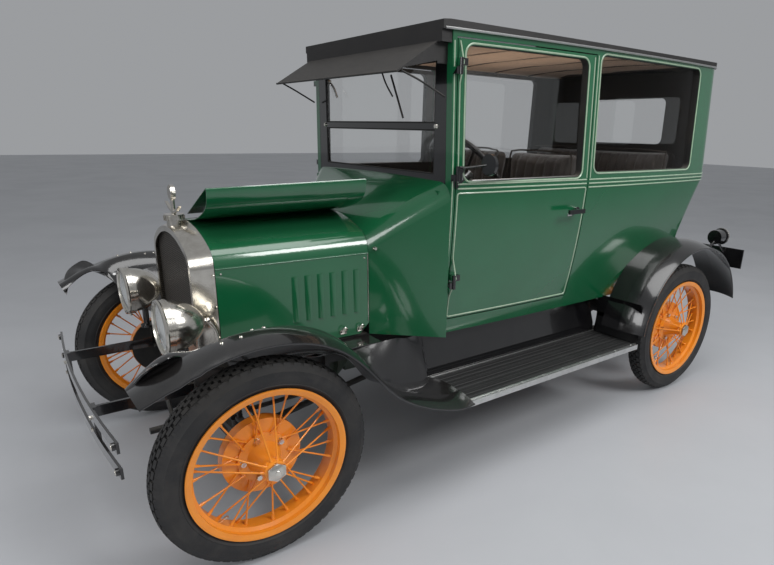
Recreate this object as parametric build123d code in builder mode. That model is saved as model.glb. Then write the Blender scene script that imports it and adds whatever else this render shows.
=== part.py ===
from build123d import *
import os
from math import atan2, cos, hypot, radians, sin, sqrt, tan

os.makedirs("parts", exist_ok=True)

# A two-door closed sedan of the 1920s. Millimetres, +X forward, +Y left, +Z up,
# with the origin on the ground under the middle of the car.

# Overall layout
wheelbase = 2540
tread = 1422
nose_reach = 460
tail_reach = 580
front_axle_x = (wheelbase + tail_reach - nose_reach) / 2
rear_axle_x = front_axle_x - wheelbase
sides = ((1, "left"), (-1, "right"))

# Clearances
seat_gap = 0.3
panel_gap = 5
pin_gap = 0.3

# Wheels and tyres
tyre_radius = 378
tyre_half_width = 57
rim_flange_radius = 284
rim_bead_radius = 268
rim_well_radius = 256
rim_half_width = 45
rim_sheet = 6
hub_bore = 14.3
hub_reach = 101
drum_radius = 142
drum_inner = 70
drum_outer = 32
drum_sheet = 6
hub_flange_radius = 92
spoke_radius = 3.2
lug_count = 5
camber = 3

# Front axle and steering
kingpin_offset = 120
kingpin_radius = 11
axle_eye_radius = 20
axle_eye_height = 60
yoke_ear = 18
steering_arm = 160
link_arm = 120
tie_rod_z = 285
steer_arm_z = 335
axle_beam_z = 345
axle_beam_depth = 56
axle_beam_width = 44
perch_y = 430
spring_eye_radius = 13
front_eye_z = axle_beam_z + 84
rear_eye_z = tyre_radius + 46

# Sector shaft of the steering box, through the left rail
pitman_x = front_axle_x - 430
pitman_z = 566
sector_radius = 14

# Frame
rail_y = 305
rail_top = 600 - seat_gap
rail_depth = 100
rail_flange = 45
rail_sheet = 7
frame_front_x = front_axle_x + 105
frame_rear_x = rear_axle_x - 190

# Body stations along the car
shell_front_x = front_axle_x + 60
shell_rear_x = front_axle_x - 10
hood_length = 640
cowl_x = shell_rear_x - hood_length
cowl_length = 250
windshield_x = cowl_x - cowl_length
post_depth = 20
door_front_x = windshield_x - post_depth - panel_gap
door_width = 775
door_rear_x = door_front_x - door_width
body_rear_x = rear_axle_x - 320
rear_split_x = body_rear_x + 220

# Body heights
sill_z = 600
waist_z = 950
belt_z = 1235
rail_z = 1825
door_bottom_z = 670
door_top_z = rail_z - 25
wall = 35
cowl_wall = 20

# Body plan at each height: height, half-widths at the windshield, door's rear edge and tail,
# how far the tail is tucked forward, and the tail's corner radius
sill_row = (sill_z, 520, 545, 535, 180, 60)
waist_row = (waist_z, 560, 610, 595, 115, 100)
belt_row = (belt_z, 575, 635, 620, 0, 100)
rail_row = (rail_z, 560, 612, 600, 8, 110)

# Arched sections of shell, hood and cowl: station, half-width, height where the side ends,
# crown height and shoulder radius
shell_front_arch = (shell_front_x, 252, 955, 1085, 75)
shell_rear_arch = (shell_rear_x, 308, 968, 1107, 84)
cowl_front_arch = (cowl_x, 342, 968, 1115, 95)
cowl_rear_arch = (windshield_x, 575, 1190, 1272, 74)
hood_ledge_z = sill_z

# Windows
window_corner = 35
door_window = (40, 50, 1270, 1780)
quarter_window = (35, 905, 1290, 1805)
windshield_opening = (460, 1290, 1725)
windshield_bar_z = 1480
rear_window = (300, 1410, 1680)
glass = 5

# Hood
hood_sheet = 2.5
hood_gap = 2
hood_rod_radius = 4
hood_side_bottom = hood_ledge_z + panel_gap + 4
hood_fold_angle = 111.3
louvre_count = 6
louvre_first = 300
louvre_pitch = 55
louvre_bottom = 712
louvre_top = 900
louvre_width = 26
louvre_rise = 10

# Steering column, drawn in the vertical plane at column_y
column_y = 300
steering_wheel_x = front_axle_x - 1220
steering_wheel_z = 1270
column_slope = 35.9
steering_wheel_radius = 210

# Fender widths and running boards
fender_outer_y = 830
fender_sheet = 3
board_top = 392
board_outer_y = 800
board_inner_y = 505
board_front_x = front_axle_x - 856
board_rear_x = rear_axle_x + 488
apron_top_y = 450


def mirrored(part):
    """The same piece on the other side of the car."""
    return part.mirror(Plane.XZ)


def plan_face(row, inset, front_x):
    """Half of the body's plan at one height, mirrored to the whole outline."""
    height, front_half, middle_half, tail_half, tuck, corner = row
    tail_x = body_rear_x + tuck
    slope = (middle_half - front_half) / (windshield_x - door_rear_x)
    front_half = front_half + slope * (windshield_x - front_x)
    with BuildSketch(Plane.XY.offset(height)) as plan:
        with BuildLine():
            front = (front_x, front_half - inset)
            middle = (door_rear_x, middle_half - inset)
            corner_start = (tail_x + corner, tail_half - inset)
            ThreePointArc(front, middle, corner_start)
            corner_end = (tail_x + inset, tail_half - corner)
            RadiusArc(corner_start, corner_end, -(corner - inset))
            Line(corner_end, (corner_end[0], 0))
            Line((front_x, 0), front)
            mirror(about=Plane.XZ)
        make_face()
    return plan.sketch


def body_envelope(inset, front_x):
    """The closed body between sill and roof rail, moved inwards by an inset."""
    with BuildPart() as envelope:
        add(plan_face(sill_row, inset, front_x))
        add(plan_face(waist_row, inset, front_x))
        add(plan_face(belt_row, inset, front_x))
        loft()
        add(plan_face(belt_row, inset, front_x))
        add(plan_face(rail_row, inset, front_x))
        loft()
    return envelope.part


def arch_points(arch, inset):
    """Top arc and shoulder arc of an arched section, tangent where they meet."""
    station, half, side_top, crown, shoulder = arch
    shoulder_y = half - shoulder
    rise = side_top - crown
    top_radius = (shoulder**2 - shoulder_y**2 - rise**2) / (2 * (rise + shoulder))
    centre_z = crown - top_radius
    reach = hypot(shoulder_y, side_top - centre_z)
    unit_y = shoulder_y / reach
    unit_z = (side_top - centre_z) / reach
    radius = top_radius - inset
    join = (radius * unit_y, centre_z + radius * unit_z)
    half_turn = atan2(unit_z, unit_y) / 2
    knee_radius = shoulder - inset
    knee = (shoulder_y + knee_radius * cos(half_turn), side_top + knee_radius * sin(half_turn))
    side = (half - inset, side_top)
    return (0, crown - inset), join, knee, side, (centre_z, radius)


def arch_face(arch, inset, bottom_z):
    """A whole arched section, closed along its bottom."""
    top, join, knee, side, _ = arch_points(arch, inset)
    with BuildSketch(Plane.YZ.offset(arch[0])) as section:
        with BuildLine():
            ThreePointArc(join, top, (-join[0], join[1]))
            for sign in (1, -1):
                ThreePointArc((sign * join[0], join[1]), (sign * knee[0], knee[1]), (sign * side[0], side[1]))
                Line((sign * side[0], side[1]), (sign * side[0], bottom_z))
            Line((-side[0], bottom_z), (side[0], bottom_z))
        make_face()
    return section.sketch


def arch_between(first, second, station):
    """The arched section at a station between two others."""
    share = (station - first[0]) / (second[0] - first[0])
    return tuple(a + share * (b - a) for a, b in zip(first, second))


def bar(start, end, radius):
    """A round bar from one point to another, as a separate solid."""
    start = Vector(start)
    end = Vector(end)
    with BuildPart(mode=Mode.PRIVATE) as rod:
        with BuildSketch(Plane(origin=start, z_dir=end - start)):
            Circle(radius)
        extrude(amount=(end - start).length)
    return rod.part


# Wheel, in its own frame: its axis is Z, pointing outwards from the car
# Spoke rows: count, hub radius, height on the hub, height at the rim, lean in degrees,
# and how far each second spoke stands in from its neighbours, so that they cross clear
spoke_rows = (
    (10, 34, 74, -12, 9, 0),
    (20, hub_flange_radius - 6, -20, 10, 16, 9),
)

with BuildPart() as wheel:
    with BuildSketch(Plane.XZ):
        with BuildLine():
            Polyline(
                (rim_well_radius, 0),
                (rim_well_radius, 0.4 * rim_half_width),
                (rim_bead_radius, 0.6 * rim_half_width),
                (rim_bead_radius, rim_half_width - 2),
                (rim_flange_radius, rim_half_width),
                (rim_flange_radius, rim_half_width + rim_sheet),
                (rim_flange_radius - rim_sheet, rim_half_width + rim_sheet),
                (rim_bead_radius - rim_sheet, rim_half_width + 2),
                (rim_bead_radius - rim_sheet, 0.6 * rim_half_width + 2),
                (rim_well_radius - rim_sheet, 0.4 * rim_half_width + 2),
                (rim_well_radius - rim_sheet, 0),
            )
            mirror(about=Plane.XZ)
        make_face()
    revolve(axis=Axis.Z)
    with BuildSketch(Plane.XZ):
        with BuildLine():
            Polyline(
                (hub_bore, -drum_inner + 4),
                (36, -drum_inner + 4),
                (36, -drum_outer - drum_sheet),
                (drum_radius - drum_sheet, -drum_outer - drum_sheet),
                (drum_radius - drum_sheet, -drum_inner),
                (drum_radius, -drum_inner),
                (drum_radius, -drum_outer),
                (hub_flange_radius, -drum_outer + 4),
                (hub_flange_radius, -drum_outer + 12),
                (62, -drum_outer + 16),
            )
            ThreePointArc((62, -drum_outer + 16), (44, 20), (38, 66))
            Polyline((38, 66), (38, 80), (30, 84), (30, hub_reach - 8))
            cap_radius = (30**2 + 8**2) / 16
            RadiusArc((30, hub_reach - 8), (0, hub_reach), -cap_radius)
            Polyline((0, hub_reach), (0, 60), (hub_bore, 60), (hub_bore, -drum_inner + 4))
        make_face()
    revolve(axis=Axis.Z)
    for count, hub_radius, hub_height, rim_height, lean, stagger in spoke_rows:
        for spoke in range(count):
            turn = 360 / count * spoke
            tip_turn = turn + lean * (1 if spoke % 2 else -1)
            step = stagger * (spoke % 2)
            root = Vector(hub_radius, 0, hub_height - step).rotate(Axis.Z, turn)
            tip = Vector(rim_well_radius - 3, 0, rim_height - step).rotate(Axis.Z, tip_turn)
            add(bar(root, tip, spoke_radius))
    with BuildSketch(Plane.XY.offset(-drum_outer + 11)):
        with PolarLocations(hub_flange_radius - 16, lug_count):
            RegularPolygon(10, 6)
    extrude(amount=15)

with BuildPart() as tyre:
    with BuildSketch(Plane.XZ):
        with BuildLine():
            Line((rim_bead_radius + seat_gap, 0), (rim_bead_radius + seat_gap, rim_half_width - 6))
            Line((rim_bead_radius + seat_gap, rim_half_width - 6), (rim_flange_radius + 3, rim_half_width - 3))
            ThreePointArc(
                (rim_flange_radius + 3, rim_half_width - 3),
                ((rim_flange_radius + tyre_radius) / 2 - 6, tyre_half_width),
                (tyre_radius - 12, tyre_half_width - 17),
            )
            ThreePointArc(
                (tyre_radius - 12, tyre_half_width - 17),
                (tyre_radius - 3, tyre_half_width / 2 - 6),
                (tyre_radius, 0),
            )
            mirror(about=Plane.XZ)
        make_face()
    revolve(axis=Axis.Z)

# Wheel planes: each one's Z axis points outwards along its axle
front_hub_z = tyre_radius * cos(radians(camber)) + 0.4
wheel_planes = {}
for side, side_name in sides:
    wheel_planes[f"front_{side_name}"] = Plane(
        origin=(front_axle_x, side * tread / 2, front_hub_z),
        x_dir=(1, 0, 0),
        z_dir=(0, side * cos(radians(camber)), -sin(radians(camber))),
    )
    wheel_planes[f"rear_{side_name}"] = Plane(
        origin=(rear_axle_x, side * tread / 2, tyre_radius),
        x_dir=(1, 0, 0),
        z_dir=(0, side, 0),
    )

for corner_name, hub_plane in wheel_planes.items():
    placed_wheel = wheel.part.moved(hub_plane.location)
    placed_wheel.label = f"wheel_{corner_name}"
    export_step(placed_wheel, f"parts/wheel_{corner_name}.step")
    placed_tyre = tyre.part.moved(hub_plane.location)
    placed_tyre.label = f"tyre_{corner_name}"
    export_step(placed_tyre, f"parts/tyre_{corner_name}.step")

# Frame: two channel rails, cross members, body ledge and running-board brackets
rail_outer_y = rail_y + rail_flange / 2
rail_inner_y = rail_y - rail_flange / 2
rail_middle_z = rail_top - rail_depth / 2
cross_member_x = (front_axle_x, cowl_x - 330, rear_axle_x, frame_rear_x + 30)
board_bracket_x = (board_front_x - 330, board_rear_x + 250)
with BuildPart() as frame:
    with BuildSketch(Plane.YZ.offset(frame_rear_x)):
        for side, _ in sides:
            with Locations((side * rail_y, rail_middle_z)):
                Rectangle(rail_flange, rail_depth)
            with Locations((side * (rail_y - rail_sheet), rail_middle_z)):
                Rectangle(rail_flange, rail_depth - 2 * rail_sheet, mode=Mode.SUBTRACT)
    extrude(amount=frame_front_x - frame_rear_x)
    for member_x in cross_member_x:
        with Locations((member_x, 0, rail_top - 30)):
            Box(70, 2 * rail_outer_y - 4, 60)
        with Locations((member_x, 0, rail_top - 30 - rail_sheet)):
            Box(70 - 2 * rail_sheet, 2 * rail_inner_y, 60, mode=Mode.SUBTRACT)
    for bracket_x in board_bracket_x:
        for side, _ in sides:
            bracket_top = board_top - 22 - seat_gap
            bracket_height = rail_middle_z + 20 - bracket_top + 16
            with BuildSketch(Plane.XZ.offset(-side * rail_outer_y)):
                with Locations((bracket_x, bracket_top - 16 + bracket_height / 2)):
                    Rectangle(30, bracket_height)
            extrude(amount=-side * 10)
            with Locations((bracket_x, side * (rail_outer_y + board_outer_y - 60) / 2, bracket_top - 8)):
                Box(30, board_outer_y - 60 - rail_outer_y, 16)
    with BuildSketch(Plane.XZ.offset(-rail_inner_y)):
        with Locations((pitman_x, pitman_z)):
            Circle(sector_radius + pin_gap)
    extrude(amount=-rail_flange - 1, mode=Mode.SUBTRACT)
frame.part.label = "frame"
export_step(frame.part, "parts/frame.step")

# Front axle: a dropped beam with an eye for each kingpin, and the radius rods to their ball
kingpin_y = tread / 2 - kingpin_offset
radius_ball = Vector(front_axle_x - 1050, 0, 262)
with BuildPart() as front_axle:
    with BuildSketch(Plane.YZ.offset(front_axle_x)):
        with BuildLine():
            beam_top = axle_beam_z + axle_beam_depth / 2
            beam_bottom = axle_beam_z - axle_beam_depth / 2
            eye_top = front_hub_z + axle_eye_height / 2
            eye_bottom = front_hub_z - axle_eye_height / 2
            Polyline((0, beam_top), (perch_y - 30, beam_top + 8), (perch_y + 40, beam_top + 14))
            Polyline((perch_y + 40, beam_top + 14), (kingpin_y - 40, eye_top), (kingpin_y, eye_top))
            Line((kingpin_y, eye_top), (kingpin_y, eye_bottom))
            rise_y = kingpin_y - axle_eye_radius - 8
            Polyline((kingpin_y, eye_bottom), (rise_y, eye_bottom), (perch_y + 20, beam_bottom), (0, beam_bottom))
            mirror(about=Plane.YZ)
        make_face()
    extrude(amount=axle_beam_width / 2, both=True)
    for face_side in (1, -1):
        with Locations((front_axle_x + face_side * axle_beam_width / 2, 0, axle_beam_z)):
            Box(26, 2 * (perch_y - 40), axle_beam_depth - 22, mode=Mode.SUBTRACT)
    for side, _ in sides:
        with Locations((front_axle_x, side * kingpin_y, front_hub_z)):
            Cylinder(axle_eye_radius + 4, axle_eye_height)
            Cylinder(kingpin_radius + pin_gap, axle_eye_height + 20, mode=Mode.SUBTRACT)
        perch_top = front_eye_z - spring_eye_radius - seat_gap
        with Locations((front_axle_x, side * perch_y, (axle_beam_z + perch_top) / 2)):
            Cylinder(17, perch_top - axle_beam_z)
        add(bar((front_axle_x, side * perch_y, axle_beam_z), radius_ball, 14))
    with Locations(radius_ball):
        Sphere(26)
front_axle.part.label = "front_axle"
export_step(front_axle.part, "parts/front_axle.step")

# Springs: arched leaves across the car, each leaf shorter than the one below it
# Spring rows: station, eye height, half span
spring_rows = (
    (front_axle_x, front_eye_z, perch_y),
    (rear_axle_x, rear_eye_z, 520),
)
leaf_count = 5
leaf_width = 45
leaf_thickness = 8
crown_top = rail_top - 60 - seat_gap
crown_z = crown_top - leaf_count * leaf_thickness
with BuildPart() as springs:
    for spring_x, eye_z, half_span in spring_rows:
        spring_radius = (half_span**2 + (crown_z - eye_z) ** 2) / (2 * (crown_z - eye_z))
        centre_z = crown_z - spring_radius
        with BuildSketch(Plane.YZ.offset(spring_x - leaf_width / 2)):
            for leaf in range(leaf_count):
                inner = spring_radius + leaf * leaf_thickness
                outer = inner + leaf_thickness
                turn = atan2(half_span, eye_z - centre_z) * (1 - leaf / leaf_count) ** 1.4
                with BuildLine():
                    low = (inner * sin(turn), centre_z + inner * cos(turn))
                    high = (outer * sin(turn), centre_z + outer * cos(turn))
                    ThreePointArc((-low[0], low[1]), (0, centre_z + inner), low)
                    Line(low, high)
                    ThreePointArc(high, (0, centre_z + outer), (-high[0], high[1]))
                    Line((-high[0], high[1]), (-low[0], low[1]))
                make_face()
        extrude(amount=leaf_width)
        clamp_bottom = crown_z - 6
        clamp_top = rail_top - rail_sheet - seat_gap
        with Locations((spring_x, 0, (clamp_bottom + clamp_top) / 2)):
            Box(leaf_width + 8, 70, clamp_top - clamp_bottom)
        for side, _ in sides:
            with Locations(Plane((spring_x, side * half_span, eye_z), z_dir=(1, 0, 0))):
                Cylinder(spring_eye_radius, leaf_width)
springs.part.label = "springs"
export_step(springs.part, "parts/springs.step")

# Knuckles: a yoke round the axle's eye, kingpin, spindle, backing plate and steering arms
yoke_gap = 1
link_ball_y = kingpin_y - link_arm
link_ball_z = 458
for side, side_name in sides:
    hub_plane = wheel_planes[f"front_{side_name}"]
    with BuildPart() as knuckle:
        with Locations((front_axle_x, side * kingpin_y, front_hub_z)):
            Cylinder(kingpin_radius, axle_eye_height + 2 * yoke_ear + 8)
        for ear_side in (1, -1):
            ear_z = front_hub_z + ear_side * (axle_eye_height / 2 + yoke_gap + yoke_ear / 2)
            with Locations((front_axle_x, side * kingpin_y, ear_z)):
                Cylinder(axle_eye_radius, yoke_ear)
            with Locations((front_axle_x, side * (kingpin_y + 20), ear_z)):
                Box(36, 40, yoke_ear)
        yoke_height = axle_eye_height + 2 * (yoke_gap + yoke_ear)
        with Locations((front_axle_x, side * (kingpin_y + 35), front_hub_z)):
            Box(36, 16, yoke_height)
        with BuildSketch(hub_plane.offset(-kingpin_offset + 30)):
            Circle(hub_bore - pin_gap)
        extrude(amount=kingpin_offset - 30 + 55)
        with BuildSketch(hub_plane.offset(-drum_inner - 6)):
            Circle(drum_radius - 2)
        extrude(amount=4)
        arm_end = (front_axle_x - steering_arm, side * kingpin_y, steer_arm_z)
        with Locations((front_axle_x - steering_arm / 2, side * kingpin_y, steer_arm_z)):
            Box(steering_arm, 22, 14)
        with Locations(arm_end):
            Cylinder(15, 14)
            Cylinder(6 + pin_gap, 30, mode=Mode.SUBTRACT)
        if side > 0:
            link_top = front_hub_z + axle_eye_height / 2 + yoke_gap + yoke_ear
            with Locations((front_axle_x, kingpin_y - link_arm / 2, link_top + 5)):
                Box(24, link_arm + 24, 12)
            with Locations((front_axle_x, link_ball_y, (link_top + link_ball_z) / 2)):
                Cylinder(8, link_ball_z - link_top)
            with Locations((front_axle_x, link_ball_y, link_ball_z)):
                Sphere(12)
    knuckle.part.label = f"knuckle_{side_name}"
    export_step(knuckle.part, f"parts/knuckle_{side_name}.step")

# Tie rod behind the axle, with a pin up through each steering arm
tie_pin_top = steer_arm_z + 12
with BuildPart() as tie_rod:
    with BuildSketch(Plane.XZ.offset(-kingpin_y)):
        with Locations((front_axle_x - steering_arm, tie_rod_z)):
            Circle(9)
    extrude(amount=2 * kingpin_y)
    for side, _ in sides:
        with Locations((front_axle_x - steering_arm, side * kingpin_y, (tie_rod_z + tie_pin_top) / 2)):
            Cylinder(6, tie_pin_top - tie_rod_z)
        collar_top = steer_arm_z - 7 - seat_gap
        with Locations((front_axle_x - steering_arm, side * kingpin_y, (tie_rod_z - 12 + collar_top) / 2)):
            Cylinder(13, collar_top - tie_rod_z + 12)
        with Locations((front_axle_x - steering_arm, side * kingpin_y, tie_pin_top)):
            Cylinder(10, 6)
tie_rod.part.label = "tie_rod"
export_step(tie_rod.part, "parts/tie_rod.step")

# Pitman arm outside the left rail, and the drag link from it to the left knuckle
pitman_length = 150
pitman_y = rail_outer_y + 24
pitman_pin_z = pitman_z - pitman_length
link_end_gap = 34
with BuildPart() as pitman_arm:
    with BuildSketch(Plane.XZ.offset(-(pitman_y - 8))):
        with Locations((pitman_x, pitman_z)):
            Circle(22)
        with Locations((pitman_x, (pitman_z + pitman_pin_z) / 2)):
            Rectangle(22, pitman_length)
        with Locations((pitman_x, pitman_pin_z)):
            Circle(16)
    extrude(amount=-14)
    with BuildSketch(Plane.XZ.offset(-(pitman_y + 6))):
        with Locations((pitman_x, pitman_pin_z)):
            Circle(8)
    extrude(amount=-24)
pitman_arm.part.label = "pitman_arm"
export_step(pitman_arm.part, "parts/pitman_arm.step")

link_eye = Vector(pitman_x, pitman_y + 18, pitman_pin_z)
link_goal = Vector(front_axle_x, link_ball_y, link_ball_z)
link_tip = link_goal + (link_eye - link_goal).normalized() * link_end_gap
with BuildPart() as drag_link:
    with BuildSketch(Plane.XZ.offset(-(link_eye.Y - 9))):
        with Locations((link_eye.X, link_eye.Z)):
            Circle(18)
    extrude(amount=-18)
    add(bar(link_eye + (link_goal - link_eye).normalized() * 12, link_tip, 9))
    with BuildSketch(Plane.XZ.offset(-(link_eye.Y - 20))):
        with Locations((link_eye.X, link_eye.Z)):
            Circle(8 + pin_gap)
    extrude(amount=-40, mode=Mode.SUBTRACT)
drag_link.part.label = "drag_link"
export_step(drag_link.part, "parts/drag_link.step")

# Steering column with its box on the frame, and the steering wheel
slope = radians(column_slope)
column_axis = Vector(-cos(slope), 0, sin(slope))
wheel_centre = Vector(steering_wheel_x, column_y, steering_wheel_z)
column_top = wheel_centre - column_axis * 30
column_foot = Vector(pitman_x, column_y, wheel_centre.Z + (wheel_centre.X - pitman_x) * tan(slope))
with BuildPart() as steering_column:
    add(bar(column_foot, column_top, 19))
    box_inner_y = rail_inner_y - 45
    with Locations((pitman_x - 6, (box_inner_y + column_y + 16) / 2, rail_top + seat_gap + 60)):
        Box(110, column_y + 16 - box_inner_y, 120)
    with Locations((pitman_x - 6, (box_inner_y + rail_inner_y - seat_gap) / 2, rail_top - 30)):
        Box(90, rail_inner_y - seat_gap - box_inner_y, 80)
    with BuildSketch(Plane.XZ.offset(-(rail_inner_y - 20))):
        with Locations((pitman_x, pitman_z)):
            Circle(sector_radius)
    extrude(amount=-(pitman_y - 8 - pin_gap - rail_inner_y + 20))
steering_column.part.label = "steering_column"
export_step(steering_column.part, "parts/steering_column.step")

wheel_face = Plane(origin=wheel_centre, x_dir=(0, 1, 0), z_dir=column_axis)
with BuildPart() as steering_wheel:
    with BuildSketch(Plane(origin=wheel_centre, x_dir=wheel_face.x_dir, z_dir=wheel_face.y_dir)):
        with Locations((steering_wheel_radius, 0)):
            Circle(13)
    revolve(axis=Axis(wheel_centre, column_axis))
    with BuildSketch(wheel_face.offset(-30 + pin_gap)):
        Circle(34)
    extrude(amount=40)
    for spoke in range(4):
        turn = radians(45 + 90 * spoke)
        tip = wheel_face.from_local_coords((steering_wheel_radius * cos(turn), steering_wheel_radius * sin(turn), 0))
        add(bar(wheel_centre - column_axis * 6, tip, 8))
steering_wheel.part.label = "steering_wheel"
export_step(steering_wheel.part, "parts/steering_wheel.step")

# Rear axle: banjo housing, tapering tubes, backing plates, torque tube and radius rods
torque_ball_x = front_axle_x - 1150
with BuildPart() as rear_axle:
    with BuildSketch(Plane.YZ.offset(rear_axle_x)):
        with BuildLine():
            housing_end = tread / 2 - drum_inner - 2
            ThreePointArc((0, tyre_radius + 110), (90, tyre_radius + 84), (150, tyre_radius + 40))
            Polyline(
                (150, tyre_radius + 40),
                (housing_end, tyre_radius + 28),
                (housing_end, tyre_radius),
                (0, tyre_radius),
            )
            mirror(about=Plane.YZ)
        make_face()
    revolve(axis=Axis((rear_axle_x, 0, tyre_radius), (0, 1, 0)))
    for side, side_name in sides:
        hub_plane = wheel_planes[f"rear_{side_name}"]
        with BuildSketch(hub_plane.offset(-drum_inner - 6)):
            Circle(drum_radius - 2)
        extrude(amount=4)
        with BuildSketch(hub_plane.offset(-drum_inner - 20)):
            Circle(hub_bore - pin_gap)
        extrude(amount=drum_inner + 20 + 55)
        perch_top = rear_eye_z - spring_eye_radius - seat_gap
        with Locations((rear_axle_x, side * spring_rows[1][2], (tyre_radius + perch_top) / 2)):
            Cylinder(15, perch_top - tyre_radius)
        add(bar((rear_axle_x, side * 560, tyre_radius - 10), (torque_ball_x - 60, side * 40, 330), 13))
    with BuildSketch(Plane.YZ.offset(torque_ball_x)):
        with Locations((0, 350)):
            Circle(36)
    with BuildSketch(Plane.YZ.offset(rear_axle_x + 80)):
        with Locations((0, tyre_radius)):
            Circle(52)
    loft()
rear_axle.part.label = "rear_axle"
export_step(rear_axle.part, "parts/rear_axle.step")

# Engine: pan, block, head, plugs, flywheel housing, gearbox and what hangs on the left side
engine_front_x = front_axle_x - 120
block_length = 470
block_half = 100
block_top = 775
head_top = 850
pan_bottom = 312
bell_radius = 165
crank_z = 425
gearbox_end_x = front_axle_x - 1050
fan_z = 695
with BuildPart() as engine:
    block_middle_x = engine_front_x - block_length / 2
    with Locations((block_middle_x, 0, (crank_z - 20 + block_top) / 2)):
        Box(block_length, 2 * block_half, block_top - crank_z + 20)
    fillet(engine.edges().filter_by(Axis.Z), 16)
    with Locations((block_middle_x, 0, (block_top + head_top) / 2)):
        Box(block_length - 10, 2 * block_half - 24, head_top - block_top)
    with BuildSketch(Plane.XZ.offset(-125)):
        with BuildLine():
            pan_rear_x = engine_front_x - block_length
            Polyline(
                (engine_front_x, crank_z),
                (engine_front_x, pan_bottom + 50),
                (engine_front_x - 160, pan_bottom),
                (pan_rear_x + 30, pan_bottom),
                (pan_rear_x, pan_bottom + 20),
                (pan_rear_x, crank_z),
                (engine_front_x, crank_z),
            )
        make_face()
    extrude(amount=250)
    with BuildSketch(Plane.YZ.offset(pan_rear_x + 5)):
        with Locations((0, crank_z)):
            Circle(bell_radius)
    with BuildSketch(Plane.YZ.offset(pan_rear_x - 85)):
        with Locations((0, crank_z)):
            Circle(105)
    loft()
    with Locations(((pan_rear_x - 85 + gearbox_end_x + 90) / 2, 0, crank_z)):
        Box(pan_rear_x - 85 - gearbox_end_x - 70, 170, 190)
    with BuildSketch(Plane.YZ.offset(gearbox_end_x + 100)):
        with Locations((0, crank_z - 30)):
            Circle(72)
    with BuildSketch(Plane.YZ.offset(torque_ball_x + seat_gap)):
        with Locations((0, 350)):
            Circle(46)
    loft()
    with Locations((radius_ball.X, 0, (radius_ball.Z + 26 + seat_gap + 350) / 2)):
        Box(40, 50, 350 - radius_ball.Z - 26 - seat_gap)
    for side, _ in sides:
        mount_end = rail_outer_y - rail_sheet - 4
        mount_z = rail_top - rail_depth + rail_sheet + seat_gap + 15
        with Locations((pan_rear_x + 30, side * (mount_end + 100) / 2, mount_z)):
            Box(60, mount_end - 100, 30)
    for plug in range(4):
        with Locations((engine_front_x - 70 - 110 * plug, 15, head_top + 22)):
            Cylinder(10, 50)
    with Locations((block_middle_x, -32, head_top + 35)):
        Cylinder(36, 76)
    with BuildSketch(Plane.YZ.offset(engine_front_x - 40)):
        with Locations((190, 640)):
            Circle(56)
    extrude(amount=-190)
    with Locations((engine_front_x - 120, 120, 640)):
        Box(60, 60, 60)
    with BuildSketch(Plane.YZ.offset(engine_front_x + 34)):
        with Locations((0, crank_z), (0, fan_z)):
            Circle(58)
    extrude(amount=-24)
    with BuildSketch(Plane.YZ.offset(engine_front_x + 12)):
        with Locations((0, crank_z), (0, fan_z)):
            Circle(30)
    extrude(amount=-30)
    with Locations((engine_front_x - 30, 0, head_top + 14)):
        Cylinder(26, 40)
    add(bar((engine_front_x - 30, 0, head_top + 30), (shell_rear_x - 16, 0, head_top + 90), 22))
engine.part.label = "engine"
export_step(engine.part, "parts/engine.step")

# Exhaust: manifold on the right of the block, carburettor, pipe, muffler and tail pipe
pipe_radius = 22
pipe_y = -175
muffler_y = -205
with BuildPart() as exhaust:
    port_z = 700
    with BuildSketch(Plane.YZ.offset(engine_front_x - 50)):
        with Locations((pipe_y + 5, port_z)):
            Circle(27)
    extrude(amount=-(block_length - 90))
    for port in range(3):
        with BuildSketch(Plane.XZ.offset(block_half + seat_gap)):
            with Locations((engine_front_x - 90 - 145 * port, port_z)):
                Rectangle(50, 44)
        extrude(amount=-pipe_y - 5 - block_half)
    with BuildLine() as pipe_route:
        FilletPolyline(
            (pan_rear_x + 60, pipe_y + 5, port_z),
            (pan_rear_x - 10, pipe_y - 5, port_z - 60),
            (pan_rear_x - 40, muffler_y, 470),
            (front_axle_x - 1100, muffler_y, 440),
            (front_axle_x - 1400, muffler_y, 440),
            radius=60,
        )
    with BuildSketch(Plane(origin=pipe_route.line @ 0, z_dir=pipe_route.line % 0)):
        Circle(pipe_radius)
    sweep(path=pipe_route.line)
    with BuildSketch(Plane.YZ.offset(front_axle_x - 1380)):
        with Locations((muffler_y, 440)):
            Ellipse(75, 50)
    extrude(amount=-480)
    with BuildSketch(Plane.YZ.offset(front_axle_x - 1840)):
        with Locations((muffler_y, 440)):
            Circle(16)
    extrude(amount=-(front_axle_x - 1840 - rear_axle_x - 160))
    with Locations((block_middle_x, pipe_y - 10, port_z - 70)):
        Cylinder(26, 120)
        Cylinder(38, 50)
exhaust.part.label = "exhaust"
export_step(exhaust.part, "parts/exhaust.step")

# Fan in front of the engine
fan_radius = 185
fan_x = engine_front_x + 48
with BuildPart() as fan:
    with BuildSketch(Plane.YZ.offset(engine_front_x + 34 + seat_gap)):
        with Locations((0, fan_z)):
            Circle(30)
    extrude(amount=22)
    with BuildSketch(Plane.YZ.offset(fan_x - 4)):
        for blade in range(2):
            with Locations(Location((0, fan_z, 0), (0, 0, 45 + 90 * blade))):
                SlotOverall(2 * fan_radius, 78)
    extrude(amount=8)
fan.part.label = "fan"
export_step(fan.part, "parts/fan.step")

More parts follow.
